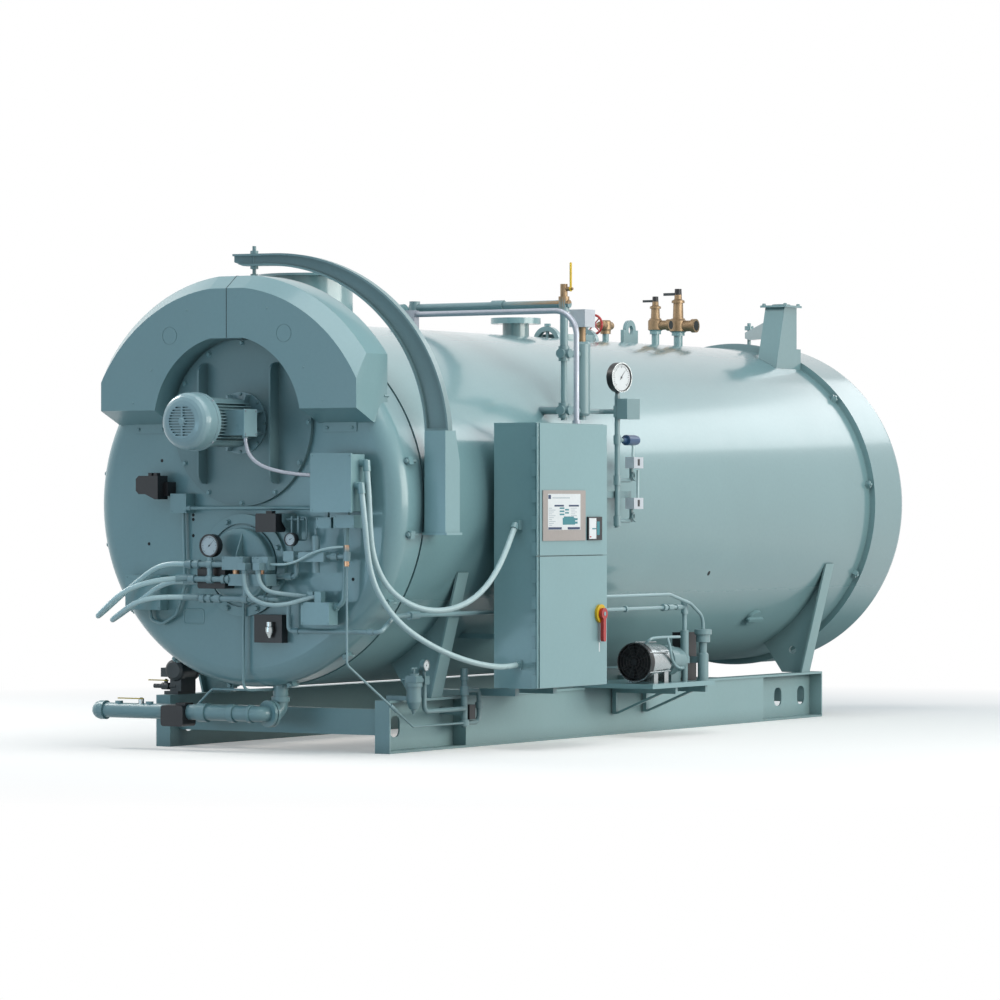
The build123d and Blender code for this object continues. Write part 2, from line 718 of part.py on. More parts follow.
# Handhole low on the shell: an oval cover with its yoke
handhole_angle = -44.0
handhole_y = 1800.0
handhole_sink = 20.0
with BuildPart() as handhole:
    normal = Vector(cos(radians(handhole_angle)), 0, sin(radians(handhole_angle)))
    seat = Plane(
        origin=Vector(0, handhole_y, shell_axis_z) + normal * (shell_r - handhole_sink),
        x_dir=(0, 1, 0),
        z_dir=normal,
    )
    with BuildSketch(seat) as cover:
        Ellipse(78, 58)
    extrude(cover.sketch, amount=2 * handhole_sink)
    with BuildSketch(seat.offset(2 * handhole_sink)) as yoke:
        SlotOverall(200, 26)
    extrude(yoke.sketch, amount=22)
    clear_of_shell()
finish(handhole, "handhole")

# Safety valves: bodies on nipples, waisted bonnets with caps and levers, side outlets towards the right
with BuildPart() as safety_valves:
    for valve_y, scale, height in ((1862.0, 0.85, 382.0), (2175.0, 1.0, 446.0)):
        base_z = crown_z - root_depth
        outlet_z = base_z + 160 + 35 * scale
        turned((0, valve_y, base_z), (0, 0, 1), [
            (30 * scale, 0), (30 * scale, 130), (44 * scale, 130), (44 * scale, 150), (58 * scale, 160),
            (58 * scale, 160 + 70 * scale), (46 * scale, 170 + 70 * scale), (46 * scale, 176 + 70 * scale),
            (36 * scale, 176 + 70 * scale), (33 * scale, height - 95 * scale),
            (44 * scale, height - 95 * scale),
            (44 * scale, height - 80 * scale), (26 * scale, height - 70 * scale), (23 * scale, height),
        ])
        turned((0, valve_y, outlet_z), (1, 0, 0), [
            (37 * scale, 0), (37 * scale, 105 * scale), (46 * scale, 110 * scale), (46 * scale, 140 * scale),
        ])
        block(-110 * scale, -10, valve_y - 8, valve_y + 8, base_z + height - 44 * scale,
              base_z + height - 26 * scale)
    clear_of_shell()
finish(safety_valves, "safety_valves")

# Angle valve on the crown, with a handwheel on a horizontal stem towards the burner end
angle_valve_y = 1195.0
angle_valve_z = crown_z + 106.0
wheel_y = angle_valve_y - 155.0
wheel_r = 62.0
wheel_hub_depth = 24.0
with BuildPart() as angle_valve:
    turned((0, angle_valve_y, crown_z - root_depth), (0, 0, 1),
           [(21, 0), (21, 110), (34, 110), (34, 128), (38, 140), (38, 190), (30, 200)])
    rod((0, angle_valve_y, angle_valve_z), (0, angle_valve_y + 70, angle_valve_z), 52)
    turned((0, angle_valve_y, angle_valve_z), (0, -1, 0),
           [(32, 0), (32, 44), (23, 52), (23, 80), (stem_r, 80), (stem_r, angle_valve_y - wheel_y + 16)])
    rod((0, wheel_y + wheel_hub_depth / 2 + seat_gap, angle_valve_z),
        (0, wheel_y + wheel_hub_depth, angle_valve_z), 30)
    clear_of_shell()
finish(angle_valve, "angle_valve")

with BuildPart() as angle_valve_handwheel:
    wheel_plane = Plane(origin=(0, wheel_y, angle_valve_z), x_dir=(1, 0, 0), z_dir=(0, 1, 0))
    with Locations(wheel_plane):
        Torus(wheel_r, 8)
        Cylinder(18, wheel_hub_depth)
    for spoke in range(4):
        angle = radians(45 + 90 * spoke)
        out = Vector(cos(angle), 0, sin(angle))
        hub = Vector(0, wheel_y, angle_valve_z)
        rod(hub + out * 12, hub + out * (wheel_r - 2), 9)
    with Locations(wheel_plane):
        Cylinder(stem_r + pin_gap, 2 * wheel_hub_depth, mode=Mode.SUBTRACT)
finish(angle_valve_handwheel, "angle_valve_handwheel")

# Water column beside the shell with its connecting pipes, crosses and blow-off ball valve
column_valve_z = column_top_z + 90.0
column_stem_x = column_pipe_x + 44.0
with BuildPart() as water_column_piping:
    rod((0, column_pipe_y, crown_z - root_depth), (0, column_pipe_y, column_top_z + 30), column_pipe_d)
    rod((0, column_pipe_y, column_top_z - 40), (0, column_pipe_y, column_top_z + 40), cross_d)
    rod((-30, column_pipe_y, column_top_z), (column_pipe_x + 40, column_pipe_y, column_top_z), column_pipe_d)
    rod((column_pipe_x, column_pipe_y, column_top_z + 40), (column_pipe_x, column_pipe_y, column_mid_z),
        column_pipe_d)
    rod((column_pipe_x, column_pipe_y, column_mid_z), (column_pipe_x, column_pipe_y, column_low_z - 60), 38)
    for z in (column_top_z, column_mid_z, column_low_z):
        rod((column_pipe_x, column_pipe_y, z - 45), (column_pipe_x, column_pipe_y, z + 45), cross_d)
    for z in (column_mid_z, column_low_z):
        rod((column_pipe_x, column_pipe_y, z), (column_pipe_x, column_y - column_r - seat_gap, z), 40)
        rod((column_pipe_x, column_pipe_y - 48, z), (column_pipe_x, column_pipe_y + 48, z), 56)
        rod((column_pipe_x, column_pipe_y, z), (column_pipe_x + 46, column_pipe_y, z), 56)
    rod((shell_x(column_low_z) - 100, column_pipe_y, column_low_z),
        (column_pipe_x, column_pipe_y, column_low_z),
        column_pipe_d)
    rod((column_pipe_x - 500, column_pipe_y, column_top_z),
        (column_pipe_x - 420, column_pipe_y, column_top_z), cross_d)
    rod((column_pipe_x, column_pipe_y, column_top_z + 40),
        (column_pipe_x, column_pipe_y, column_valve_z + 30), 44)
    rod((column_pipe_x, column_pipe_y, column_valve_z), (column_stem_x, column_pipe_y, column_valve_z), 26)
    rod((column_stem_x, column_pipe_y, column_valve_z), (column_stem_x + 18, column_pipe_y, column_valve_z),
        2 * stem_r)
    clear_of_shell()
finish(water_column_piping, "water_column_piping")


def ball_valve_lever(stem, stem_dir, lever_dir, length):
    """Flat lever with a rounded grip on a hub that turns on a ball valve's stem."""
    along = Vector(*lever_dir)
    out = Vector(*stem_dir)
    origin = Vector(*stem)
    with BuildSketch(Plane(origin=origin, x_dir=along, z_dir=out)) as plate:
        Circle(16)
        with Locations((length / 2, 0)):
            Rectangle(length, 18)
        with Locations((length, 0)):
            Circle(9)
    extrude(plate.sketch, amount=6)
    with BuildSketch(Plane(origin=origin - out, z_dir=out)) as bore:
        Circle(stem_r + pin_gap)
    extrude(bore.sketch, amount=8, mode=Mode.SUBTRACT)


with BuildPart() as column_valve_lever:
    ball_valve_lever((column_stem_x + seat_gap, column_pipe_y, column_valve_z), (1, 0, 0), (0, 0, 1), 150)
finish(column_valve_lever, "column_valve_lever")

with BuildPart() as water_column:
    body_low = column_low_z - 30
    body_height = crown_z - 88 - body_low
    turned((column_pipe_x, column_y, body_low), (0, 0, 1), [
        (26, -24), (26, 0), (40, 0), (column_r, 14), (column_r, body_height - 14), (40, body_height),
        (22, body_height), (22, body_height + 88),
    ])
    block(column_pipe_x - 55, column_pipe_x + 55, column_y - 60, column_y + 60, crown_z, crown_z + 106)
finish(water_column, "water_column")

# Conduit from the crown to the cabinet
conduit_y = cabinet_rear_y - 38.0
top_conduit_z = crown_z + 85.0
top_conduit_x = cabinet_back_x + 120.0
with BuildPart() as cabinet_conduit:
    pipe([(70, conduit_y, top_conduit_z), (top_conduit_x, conduit_y, top_conduit_z),
          (top_conduit_x, conduit_y, cabinet_top_z)], conduit_d, 150)
    rod((top_conduit_x, conduit_y, cabinet_top_z), (top_conduit_x, conduit_y, cabinet_top_z + 26), 48)
    block(40, 110, conduit_y - 28, conduit_y + 28, crown_z - root_depth, top_conduit_z + 25)
    clear_of_shell()
finish(cabinet_conduit, "cabinet_conduit")

# Pressure manifold: an upright pipe with tees on a strut off the casing, fed from the water column
transmitter_z = 1822.0
control_tops = ((1685.0, 1577.0), (1437.0, 1331.0))
control_y = manifold_y + 172.0
with BuildPart() as pressure_manifold:
    rod((manifold_x, manifold_y, manifold_low_z), (manifold_x, manifold_y, manifold_high_z), manifold_d)
    block(manifold_x - 45, manifold_x - 16, manifold_y - 150, manifold_y + 195, strut_z - 20, strut_z + 20)
    for strut_y in (manifold_y - 120, manifold_y + 160):
        block(shell_r - 65, manifold_x - 30, strut_y - 20, strut_y + 20, strut_z - 15, strut_z + 15)
    rod((manifold_x, manifold_y, transmitter_z - 28), (manifold_x, manifold_y, transmitter_z + 28), 46)
    rod((manifold_x, manifold_y, transmitter_z), (manifold_x, manifold_y + 60, transmitter_z), 26)
    for control_z, tee_z in control_tops:
        rod((manifold_x, manifold_y, tee_z - 30), (manifold_x, manifold_y, tee_z + 30), 46)
        pipe([(manifold_x, manifold_y, tee_z), (manifold_x, control_y, tee_z),
              (manifold_x, control_y, control_z - 34 - seat_gap)], 24, 30)
    pipe([(column_pipe_x, column_y + column_r + seat_gap, column_low_z),
          (column_pipe_x, manifold_y, column_low_z),
          (manifold_x, manifold_y, column_low_z)], 30, 40)
    rod((manifold_x, manifold_y, column_low_z - 34), (manifold_x, manifold_y, column_low_z + 34), 46)
    block(manifold_x + 12, manifold_x + 84, manifold_y - 26, manifold_y + 129, 1948, 2071)
    clear_of_shell()
finish(pressure_manifold, "pressure_manifold")

gauge_z = 2200.0
gauge_r = 90.0
gauge_turn = 12.0
with BuildPart() as pressure_instruments:
    turned((manifold_x, manifold_y + 60, transmitter_z), (0, 1, 0),
           [(16, 0), (16, 40), (32, 45), (32, 150), (28, 155), (28, 175)])
    for control_z, tee_z in control_tops:
        block(manifold_x - 10, manifold_x + 52, control_y - 57, control_y + 57, control_z - 34,
              control_z + 34)
    face_dir = (cos(radians(gauge_turn)), -sin(radians(gauge_turn)), 0)
    turned((manifold_x - 12, manifold_y, gauge_z), face_dir,
           [(gauge_r - 8, 0), (gauge_r, 6), (gauge_r, 52), (gauge_r - 9, 52), (gauge_r - 9, 46)])
    rod((manifold_x, manifold_y, manifold_high_z), (manifold_x, manifold_y, gauge_z - gauge_r + 10), 26)
finish(pressure_instruments, "pressure_instruments")

# Control cabinet: a sheet-metal box, open towards +X, with a rail between the two doors and the fixed
# knuckles of the continuous hinges
door_spans = (
    ("cabinet_lower_door", cabinet_bottom_z + cabinet_door_margin, cabinet_seam_z - cabinet_seam_half),
    ("cabinet_upper_door", cabinet_seam_z + cabinet_seam_half, cabinet_top_z - cabinet_door_margin),
)
with BuildPart() as control_cabinet:
    block(cabinet_back_x, cabinet_face_x, cabinet_front_y, cabinet_rear_y, cabinet_bottom_z, cabinet_top_z)
    for low, high in (
        (cabinet_bottom_z + cabinet_wall, cabinet_seam_z - cabinet_rail_half),
        (cabinet_seam_z + cabinet_rail_half, cabinet_top_z - cabinet_wall),
    ):
        block(cabinet_back_x + cabinet_wall, cabinet_face_x + 1, cabinet_front_y + cabinet_wall,
              cabinet_rear_y - cabinet_wall, low, high, mode=Mode.SUBTRACT)
    for door_name, low, high in door_spans:
        step = (high - low) / hinge_knuckles
        for knuckle in range(0, hinge_knuckles, 2):
            z0 = low + knuckle * step
            block(cabinet_face_x - 25, hinge_x, hinge_y, hinge_y + hinge_leaf, z0, z0 + step - seat_gap)
            block(cabinet_face_x - 25, cabinet_face_x - 5, hinge_y, cabinet_front_y, z0, z0 + step - seat_gap)
            rod((hinge_x, hinge_y, z0), (hinge_x, hinge_y, z0 + step - seat_gap), 2 * hinge_knuckle_r)
            rod((hinge_x, hinge_y, z0 + step - seat_gap), (hinge_x, hinge_y, z0 + 2 * step - seat_gap),
                2 * hinge_pin_r)
    for route, reach, rise, length in ((upper_conduit_route, 34, 25, 36), (lower_conduit_route, 14, 1, 20)):
        x, y, z = route[-1]
        gland(route[-2], route[-1], 46, length)
        block(x - 27, x + 27, cabinet_front_y - reach, cabinet_front_y, z + rise - 28, z + rise + 28)
finish(control_cabinet, "control_cabinet")

# Cabinet doors: flat pans with the moving knuckles, the upper with two panels, the lower with its switch
for door_name, low, high in door_spans:
    with BuildPart() as cabinet_door:
        block(cabinet_door_x, cabinet_skin_x, cabinet_front_y + 4, cabinet_rear_y - 2, low, high)
        step = (high - low) / hinge_knuckles
        for knuckle in range(1, hinge_knuckles, 2):
            z0 = low + knuckle * step
            block(hinge_x - hinge_leaf / 2, hinge_x + hinge_leaf / 2, hinge_y, cabinet_front_y + 10, z0,
                  z0 + step - seat_gap)
            rod((hinge_x, hinge_y, z0), (hinge_x, hinge_y, z0 + step - seat_gap), 2 * hinge_knuckle_r)
            rod((hinge_x, hinge_y, z0 - 1), (hinge_x, hinge_y, z0 + step + 1), 2 * (hinge_pin_r + pin_gap),
                mode=Mode.SUBTRACT)
        if door_name == "cabinet_lower_door":
            rod((cabinet_skin_x, handle_y, handle_z),
                (cabinet_skin_x + handle_disc_thickness, handle_y, handle_z),
                handle_disc_d)
            rod((cabinet_skin_x, handle_y, handle_z),
                (cabinet_skin_x + handle_stem_length, handle_y, handle_z),
                handle_stem_d)
        else:
            block(cabinet_skin_x, cabinet_skin_x + bezel_thickness, -2004, -1516, 1219, 1513)
            block(cabinet_skin_x, cabinet_skin_x + 2 * bezel_thickness, -1493, -1332, 1220, 1358)
    finish(cabinet_door, door_name)

with BuildPart() as disconnect_handle:
    handle_face_x = cabinet_skin_x + handle_disc_thickness + seat_gap
    with BuildSketch(Plane(origin=(handle_face_x, handle_y, handle_z), x_dir=(0, 1, 0),
                           z_dir=(1, 0, 0))) as grip:
        Circle(handle_hub_r)
        with Locations((0, -handle_reach / 2)):
            Rectangle(handle_width, handle_reach)
        with Locations((0, -handle_reach)):
            Circle(handle_width / 2)
        Circle(handle_stem_d / 2 + pin_gap, mode=Mode.SUBTRACT)
    extrude(grip.sketch, amount=handle_thickness)
finish(disconnect_handle, "disconnect_handle")

# Cabinet posts: uprights behind the cabinet on arms from the rail
post_width = 42.0
tie_height = 30.0
with BuildPart() as cabinet_posts:
    post_face_x = cabinet_back_x - seat_gap
    for post_y in (cabinet_front_y + 260, cabinet_rear_y - 86):
        block(cabinet_back_x - post_width, post_face_x, post_y - post_width / 2, post_y + post_width / 2,
              rail_height, cabinet_top_z - 45)
        block(rail_web_face_x, post_face_x, post_y - post_width / 2, post_y + post_width / 2,
              rail_height, rail_height + post_width)
        for tie_z in (rail_height + 335, cabinet_top_z - 205):
            block(shell_x(tie_z) - 60, cabinet_back_x - tie_height, post_y - 15, post_y + 15, tie_z,
                  tie_z + tie_height)
    clear_of_shell()
finish(cabinet_posts, "cabinet_posts")

# Compressor shelf: a tray with two bearers and two knee braces off the right rail
tray_front_y = -482.0
tray_rear_y = 306.0
bearer_height = 42.0
brace_width = 28.0
brace_low_z = 130.0
with BuildPart() as compressor_shelf:
    block(rail_web_face_x + 10, shelf_outer_x, tray_front_y, tray_rear_y, rail_height, shelf_z)
    for bearer_y in (-144.0, 238.0):
        block(rail_outer_x, shelf_outer_x - 30, bearer_y, bearer_y + brace_width,
              rail_height - bearer_height, rail_height)
        block(rail_outer_x, rail_outer_x + brace_width, bearer_y, bearer_y + brace_width, brace_low_z,
              rail_height)
        with BuildSketch(Plane.XZ.offset(-bearer_y)) as brace:
            with BuildLine():
                Polyline(
                    (rail_outer_x + 2, brace_low_z),
                    (rail_outer_x + 34, brace_low_z),
                    (shelf_outer_x - 120, rail_height - bearer_height + 2),
                    (shelf_outer_x - 160, rail_height - bearer_height + 2),
                    close=True,
                )
            make_face()
        extrude(brace.sketch, amount=-brace_width)
finish(compressor_shelf, "compressor_shelf")

# Compressor motor: a fan ring with hub and blades in front, a tapered body and an end bell on two feet
fan_front_y = -450.0
fan_ring_r = 122.0
fan_pocket_r = 113.0
fan_pocket_depth = 30.0
with BuildPart() as compressor_motor:
    turned((compressor_x, fan_front_y, compressor_z), (0, 1, 0), [
        (fan_ring_r, 0), (fan_ring_r, 40), (fan_ring_r - 5, 44), (fan_ring_r - 17, 280),
        (fan_ring_r - 30, 300),
        (60, 330),
    ])
    rod((compressor_x, fan_front_y - 1, compressor_z),
        (compressor_x, fan_front_y + fan_pocket_depth, compressor_z),
        2 * fan_pocket_r, mode=Mode.SUBTRACT)
    rod((compressor_x, fan_front_y + 8, compressor_z),
        (compressor_x, fan_front_y + fan_pocket_depth + 5, compressor_z), 64)
    with BuildSketch(Plane.XZ.offset(-fan_front_y - fan_pocket_depth - 5)) as blades:
        with Locations((compressor_x, compressor_z)):
            with PolarLocations(64, 7):
                Rectangle(76, 16)
    extrude(blades.sketch, amount=20)
    for foot_y in (fan_front_y + 110, fan_front_y + 240):
        block(compressor_x - 90, compressor_x + 90, foot_y - 25, foot_y + 25, shelf_z, compressor_z - 40)
finish(compressor_motor, "compressor_motor")

# Air compressor: pump head behind the motor, receiver box, inlet filter with a stepped cap and check valve
with BuildPart() as air_compressor:
    turned((compressor_x, fan_front_y + 330 + seat_gap, compressor_z), (0, 1, 0),
           [(60, 0), (95, 14), (95, 90), (80, 100), (80, 190)])
    block(compressor_x - 70, compressor_x + 40, -60, 60, shelf_z, compressor_z)
    block(compressor_x - 70, compressor_x + 25, 150, 290, shelf_z, shelf_z + 300)
    block(compressor_x - 40, compressor_x + 10, 40, 160, shelf_z + 20, shelf_z + 60)
    turned((filter_x, filter_y, shelf_z), (0, 0, 1), [
        (40, 0), (40, 10), (34, 10), (34, 165), (24, 175), (24, 236), (44, 240), (44, 284), (54, 288),
        (54, 318), (46, 321),
    ])
    block(compressor_x + 20, filter_x, filter_y - 20, filter_y + 20, shelf_z + 110, shelf_z + 150)
    turned((check_valve_x, check_valve_y, shelf_z), (0, 0, 1), [
        (20, 0), (20, 110), (33, 112), (33, 150), (26, 160), (26, 316), (16, 317),
    ])
    rod((compressor_x, check_valve_y, shelf_z + 130), (check_valve_x, check_valve_y, shelf_z + 130), 26)
    block(compressor_x - 20, compressor_x + 20, 60, check_valve_y + 16, shelf_z + 100, shelf_z + 150)
finish(air_compressor, "air_compressor")

# Air lines on the right side: two from the cabinet to the compressor, one forward to the union at the door
upper_air_z = 878.0
lower_air_z = 795.0
with BuildPart() as air_piping:
    pipe([(filter_x, cabinet_rear_y, upper_air_z), (filter_x, -200, upper_air_z),
          (filter_x, 70, upper_air_z - 62),
          (filter_x, filter_y, 730), (filter_x, filter_y, shelf_z + 321 + seat_gap)], 21, 90)
    rod((check_valve_x, cabinet_rear_y, lower_air_z), (check_valve_x, check_valve_y, lower_air_z), 24)
    rod((check_valve_x, check_valve_y, lower_air_z + 48),
        (check_valve_x, check_valve_y, shelf_z + 317 + seat_gap), 28)
    rod((check_valve_x, check_valve_y, lower_air_z - 44), (check_valve_x, check_valve_y, lower_air_z + 44),
        44)
    for ring_y, ring_d, ring_length in ((-660, 38, 22), (-190, 44, 34), (-130, 38, 60), (-20, 34, 60)):
        rod((check_valve_x, ring_y, lower_air_z), (check_valve_x, ring_y + ring_length, lower_air_z), ring_d)
    pipe([(air_pipe_x, shell_front_y + seat_gap / 2, air_pipe_z),
          (air_pipe_x, cabinet_rear_y + 104, air_pipe_z),
          (check_valve_x, cabinet_rear_y + 104, lower_air_z)], air_pipe_d, 60)
    rod((air_pipe_x, shell_front_y + seat_gap / 2, air_pipe_z),
        (air_pipe_x, shell_front_y + 44, air_pipe_z), 46)
finish(air_piping, "air_piping")

# Oil strainer set on the right rail near the front: head, tapered bowl, drain, T-handle and gauge
strainer_x = rail_outer_x + 85.0
strainer_y = -2575.0
gauge_pipe_y = strainer_y + 112.0
oil_pipe_z = 237.0
valve_set_x = rail_outer_x + 70.0
valve_set_y = -2002.0
valve_pipe_r = 20.0
with BuildPart() as oil_strainer:
    turned((strainer_x, strainer_y, 227), (0, 0, 1), [
        (9, 0), (9, 12), (14, 14), (14, 25), (26, 28), (42, 68), (42, 158), (50, 158), (50, 178), (30, 178),
        (30, 232),
        (8, 232), (8, 268),
    ])
    case(strainer_x - 38, strainer_x + 38, strainer_y - 34, strainer_y + 34, 400, 448, 12)
    rod((strainer_x - 74, strainer_y, 423), (strainer_x, strainer_y, 423), 22)
    rod((strainer_x, strainer_y - 28, 489), (strainer_x, strainer_y + 28, 489), 12)
    block(rail_web_face_x, strainer_x, strainer_y - 20, strainer_y + 20, rail_height, rail_height + 25)
    rod((strainer_x, strainer_y, 418), (strainer_x, gauge_pipe_y, 418), 30)
    block(strainer_x - 21, strainer_x + 21, gauge_pipe_y - 24, gauge_pipe_y + 24, 394, 442)
    pipe([(strainer_x, gauge_pipe_y, 410), (strainer_x, gauge_pipe_y, oil_pipe_z),
          (strainer_x, valve_set_y - valve_pipe_r - seat_gap, oil_pipe_z)], 28, 36)
    rod((strainer_x, gauge_pipe_y, 430), (strainer_x, gauge_pipe_y, 480), 18)
    turned((strainer_x - 14, gauge_pipe_y, 503), (1, 0, 0), [(30, 0), (34, 3), (34, 30), (30, 30), (30, 27)])
finish(oil_strainer, "oil_strainer")

# Oil valve set behind the front saddle: upright pipe, bypass loop, the valve between and the pilot line's end
bypass_y = valve_set_y + 165.0
pilot_line_d = 13.0
pilot_line_low = (rail_outer_x + 80.0, -2577.0, 155.0)
pilot_line_high = (791.0, door_face_y - 130.0, 523.0)
pilot_line_run = Vector(*pilot_line_low) - Vector(*pilot_line_high)
pilot_line_parting = Vector(*pilot_line_high) + pilot_line_run * 0.7
with BuildPart() as oil_valve_set:
    turned((valve_set_x, valve_set_y, 128), (0, 0, 1), [
        (17, 0), (17, 8), (28, 8), (28, 44), (valve_pipe_r, 44), (valve_pipe_r, 186), (28, 188), (28, 240),
        (valve_pipe_r, 242),
        (valve_pipe_r, 276),
        (27, 276), (27, 296), (22, 296), (22, 344),
    ])
    pipe([(valve_set_x, valve_set_y, 343), (valve_set_x, bypass_y, 343), (valve_set_x, bypass_y, 153),
          (valve_set_x, valve_set_y, 153)], 30, 45)
    block(valve_set_x - 26, valve_set_x + 26, valve_set_y + 18, valve_set_y + 84, 172, 258)
    rod((valve_set_x, bypass_y, 232), (valve_set_x, bypass_y, 268), 46)
    block(rail_web_face_x, valve_set_x, valve_set_y - 18, valve_set_y + 18, 200, 240)
    start = pilot_line_parting + pilot_line_run.normalized() * seat_gap
    pipe([(start.X, start.Y, start.Z), pilot_line_low, (pilot_line_low[0], valve_set_y - 10, 153)],
         pilot_line_d, 30)
    sleeve = start + pilot_line_run.normalized() * 30
    rod(start, sleeve, 24)
finish(oil_valve_set, "oil_valve_set")

# Fuel pump set on the left rail: motor on its pump block, switch box and a ball valve on the suction
pump_x = -(rail_web_x + rail_outer_x) / 2 + 25.0
pump_y = -2560.0
pump_valve_x = pump_x - 75.0
pump_valve_y = pump_y - 40.0
suction_z = rail_height + 48.0
pump_stem_z = suction_z + 31.0
with BuildPart() as fuel_pump_set:
    block(-rail_outer_x, -rail_web_x, pump_y - 60, pump_y + 120, rail_height, rail_height + 20)
    block(pump_x - 40, pump_x + 40, pump_y - 50, pump_y + 100, rail_height + 20, 420)
    turned((pump_x, pump_y - 75, 450), (0, 1, 0),
           [(46, 0), (62, 10), (66, 24), (66, 60), (60, 62), (60, 170), (66, 172), (66, 190), (50, 200)])
    block(pump_x - 100, pump_x - 55, pump_y - 60, pump_y, 408, 462)
    rod((pump_x, pump_valve_y, suction_z), (pump_x - 160, pump_valve_y, suction_z), 26)
    rod((pump_valve_x - 26, pump_valve_y, suction_z), (pump_valve_x + 26, pump_valve_y, suction_z), 42)
    rod((pump_valve_x, pump_valve_y, suction_z), (pump_valve_x, pump_valve_y, pump_stem_z), 24)
    rod((pump_valve_x, pump_valve_y, pump_stem_z), (pump_valve_x, pump_valve_y, pump_stem_z + 12), 2 * stem_r)
finish(fuel_pump_set, "fuel_pump_set")

with BuildPart() as pump_valve_lever:
    ball_valve_lever((pump_valve_x, pump_valve_y, pump_stem_z + seat_gap), (0, 0, 1), (-1, 0, 0), 120)
finish(pump_valve_lever, "pump_valve_lever")


def door_outline(grow):
    """Half section of the front door's outside: flat face, rolled edge and skirt, all grown by one amount."""
    front = door_face_y - grow
    rim = shell_axis_z + door_r + grow
    roll = door_edge_r + grow
    back = shell_front_y - gasket_thickness
    Line((back, shell_axis_z), (front, shell_axis_z))
    Line((front, shell_axis_z), (front, rim - roll))
    RadiusArc((front, rim - roll), (front + roll, rim), roll)
    Line((front + roll, rim), (back, rim))
    Line((back, rim), (back, shell_axis_z))


def door_lugs(grow, mode):
    """Clamp lugs round the door's skirt, grown by one amount on every side."""
    size = door_lug_size + 2 * grow
    for lug in range(door_lug_count):
        angle = radians(door_lug_start + lug * 360 / door_lug_count)
        out = Vector(cos(angle), 0, sin(angle))
        foot = Vector(0, shell_front_y - door_lug_from_shell, shell_axis_z) + out * (door_r - door_wall)
        with Locations(Plane(origin=foot, x_dir=(0, 1, 0), z_dir=out)):
            Box(size, size, door_wall + door_lug_height + grow,
                align=(Align.CENTER, Align.CENTER, Align.MIN), mode=mode)


shell_axis = Axis((0, 0, shell_axis_z), (0, 1, 0))

# Front door: a dished pan with clamp lugs round its skirt
with BuildPart() as front_door:
    with BuildSketch(Plane.YZ) as outside:
        with BuildLine():
            door_outline(0)
        make_face()
    revolve(outside.sketch, axis=shell_axis)
    door_lugs(0, Mode.ADD)
    with BuildSketch(Plane.YZ) as inside:
        with BuildLine():
            door_outline(-door_wall)
        make_face()
    revolve(inside.sketch, axis=shell_axis, mode=Mode.SUBTRACT)
finish(front_door, "front_door")

# Door lining: refractory cast into the pan, with the burner throat
with BuildPart() as door_lining:
    with BuildSketch(Plane.YZ) as inside:
        with BuildLine():
            door_outline(-door_wall - seat_gap)
        make_face()
    revolve(inside.sketch, axis=shell_axis)
    with BuildSketch(Plane.XZ.offset(gasket_thickness - shell_front_y)) as throat:
        with Locations((0, furnace_axis_z)):
            Circle(burner_throat_r)
    extrude(throat.sketch, amount=throat_depth, mode=Mode.SUBTRACT)
finish(door_lining, "door_lining")

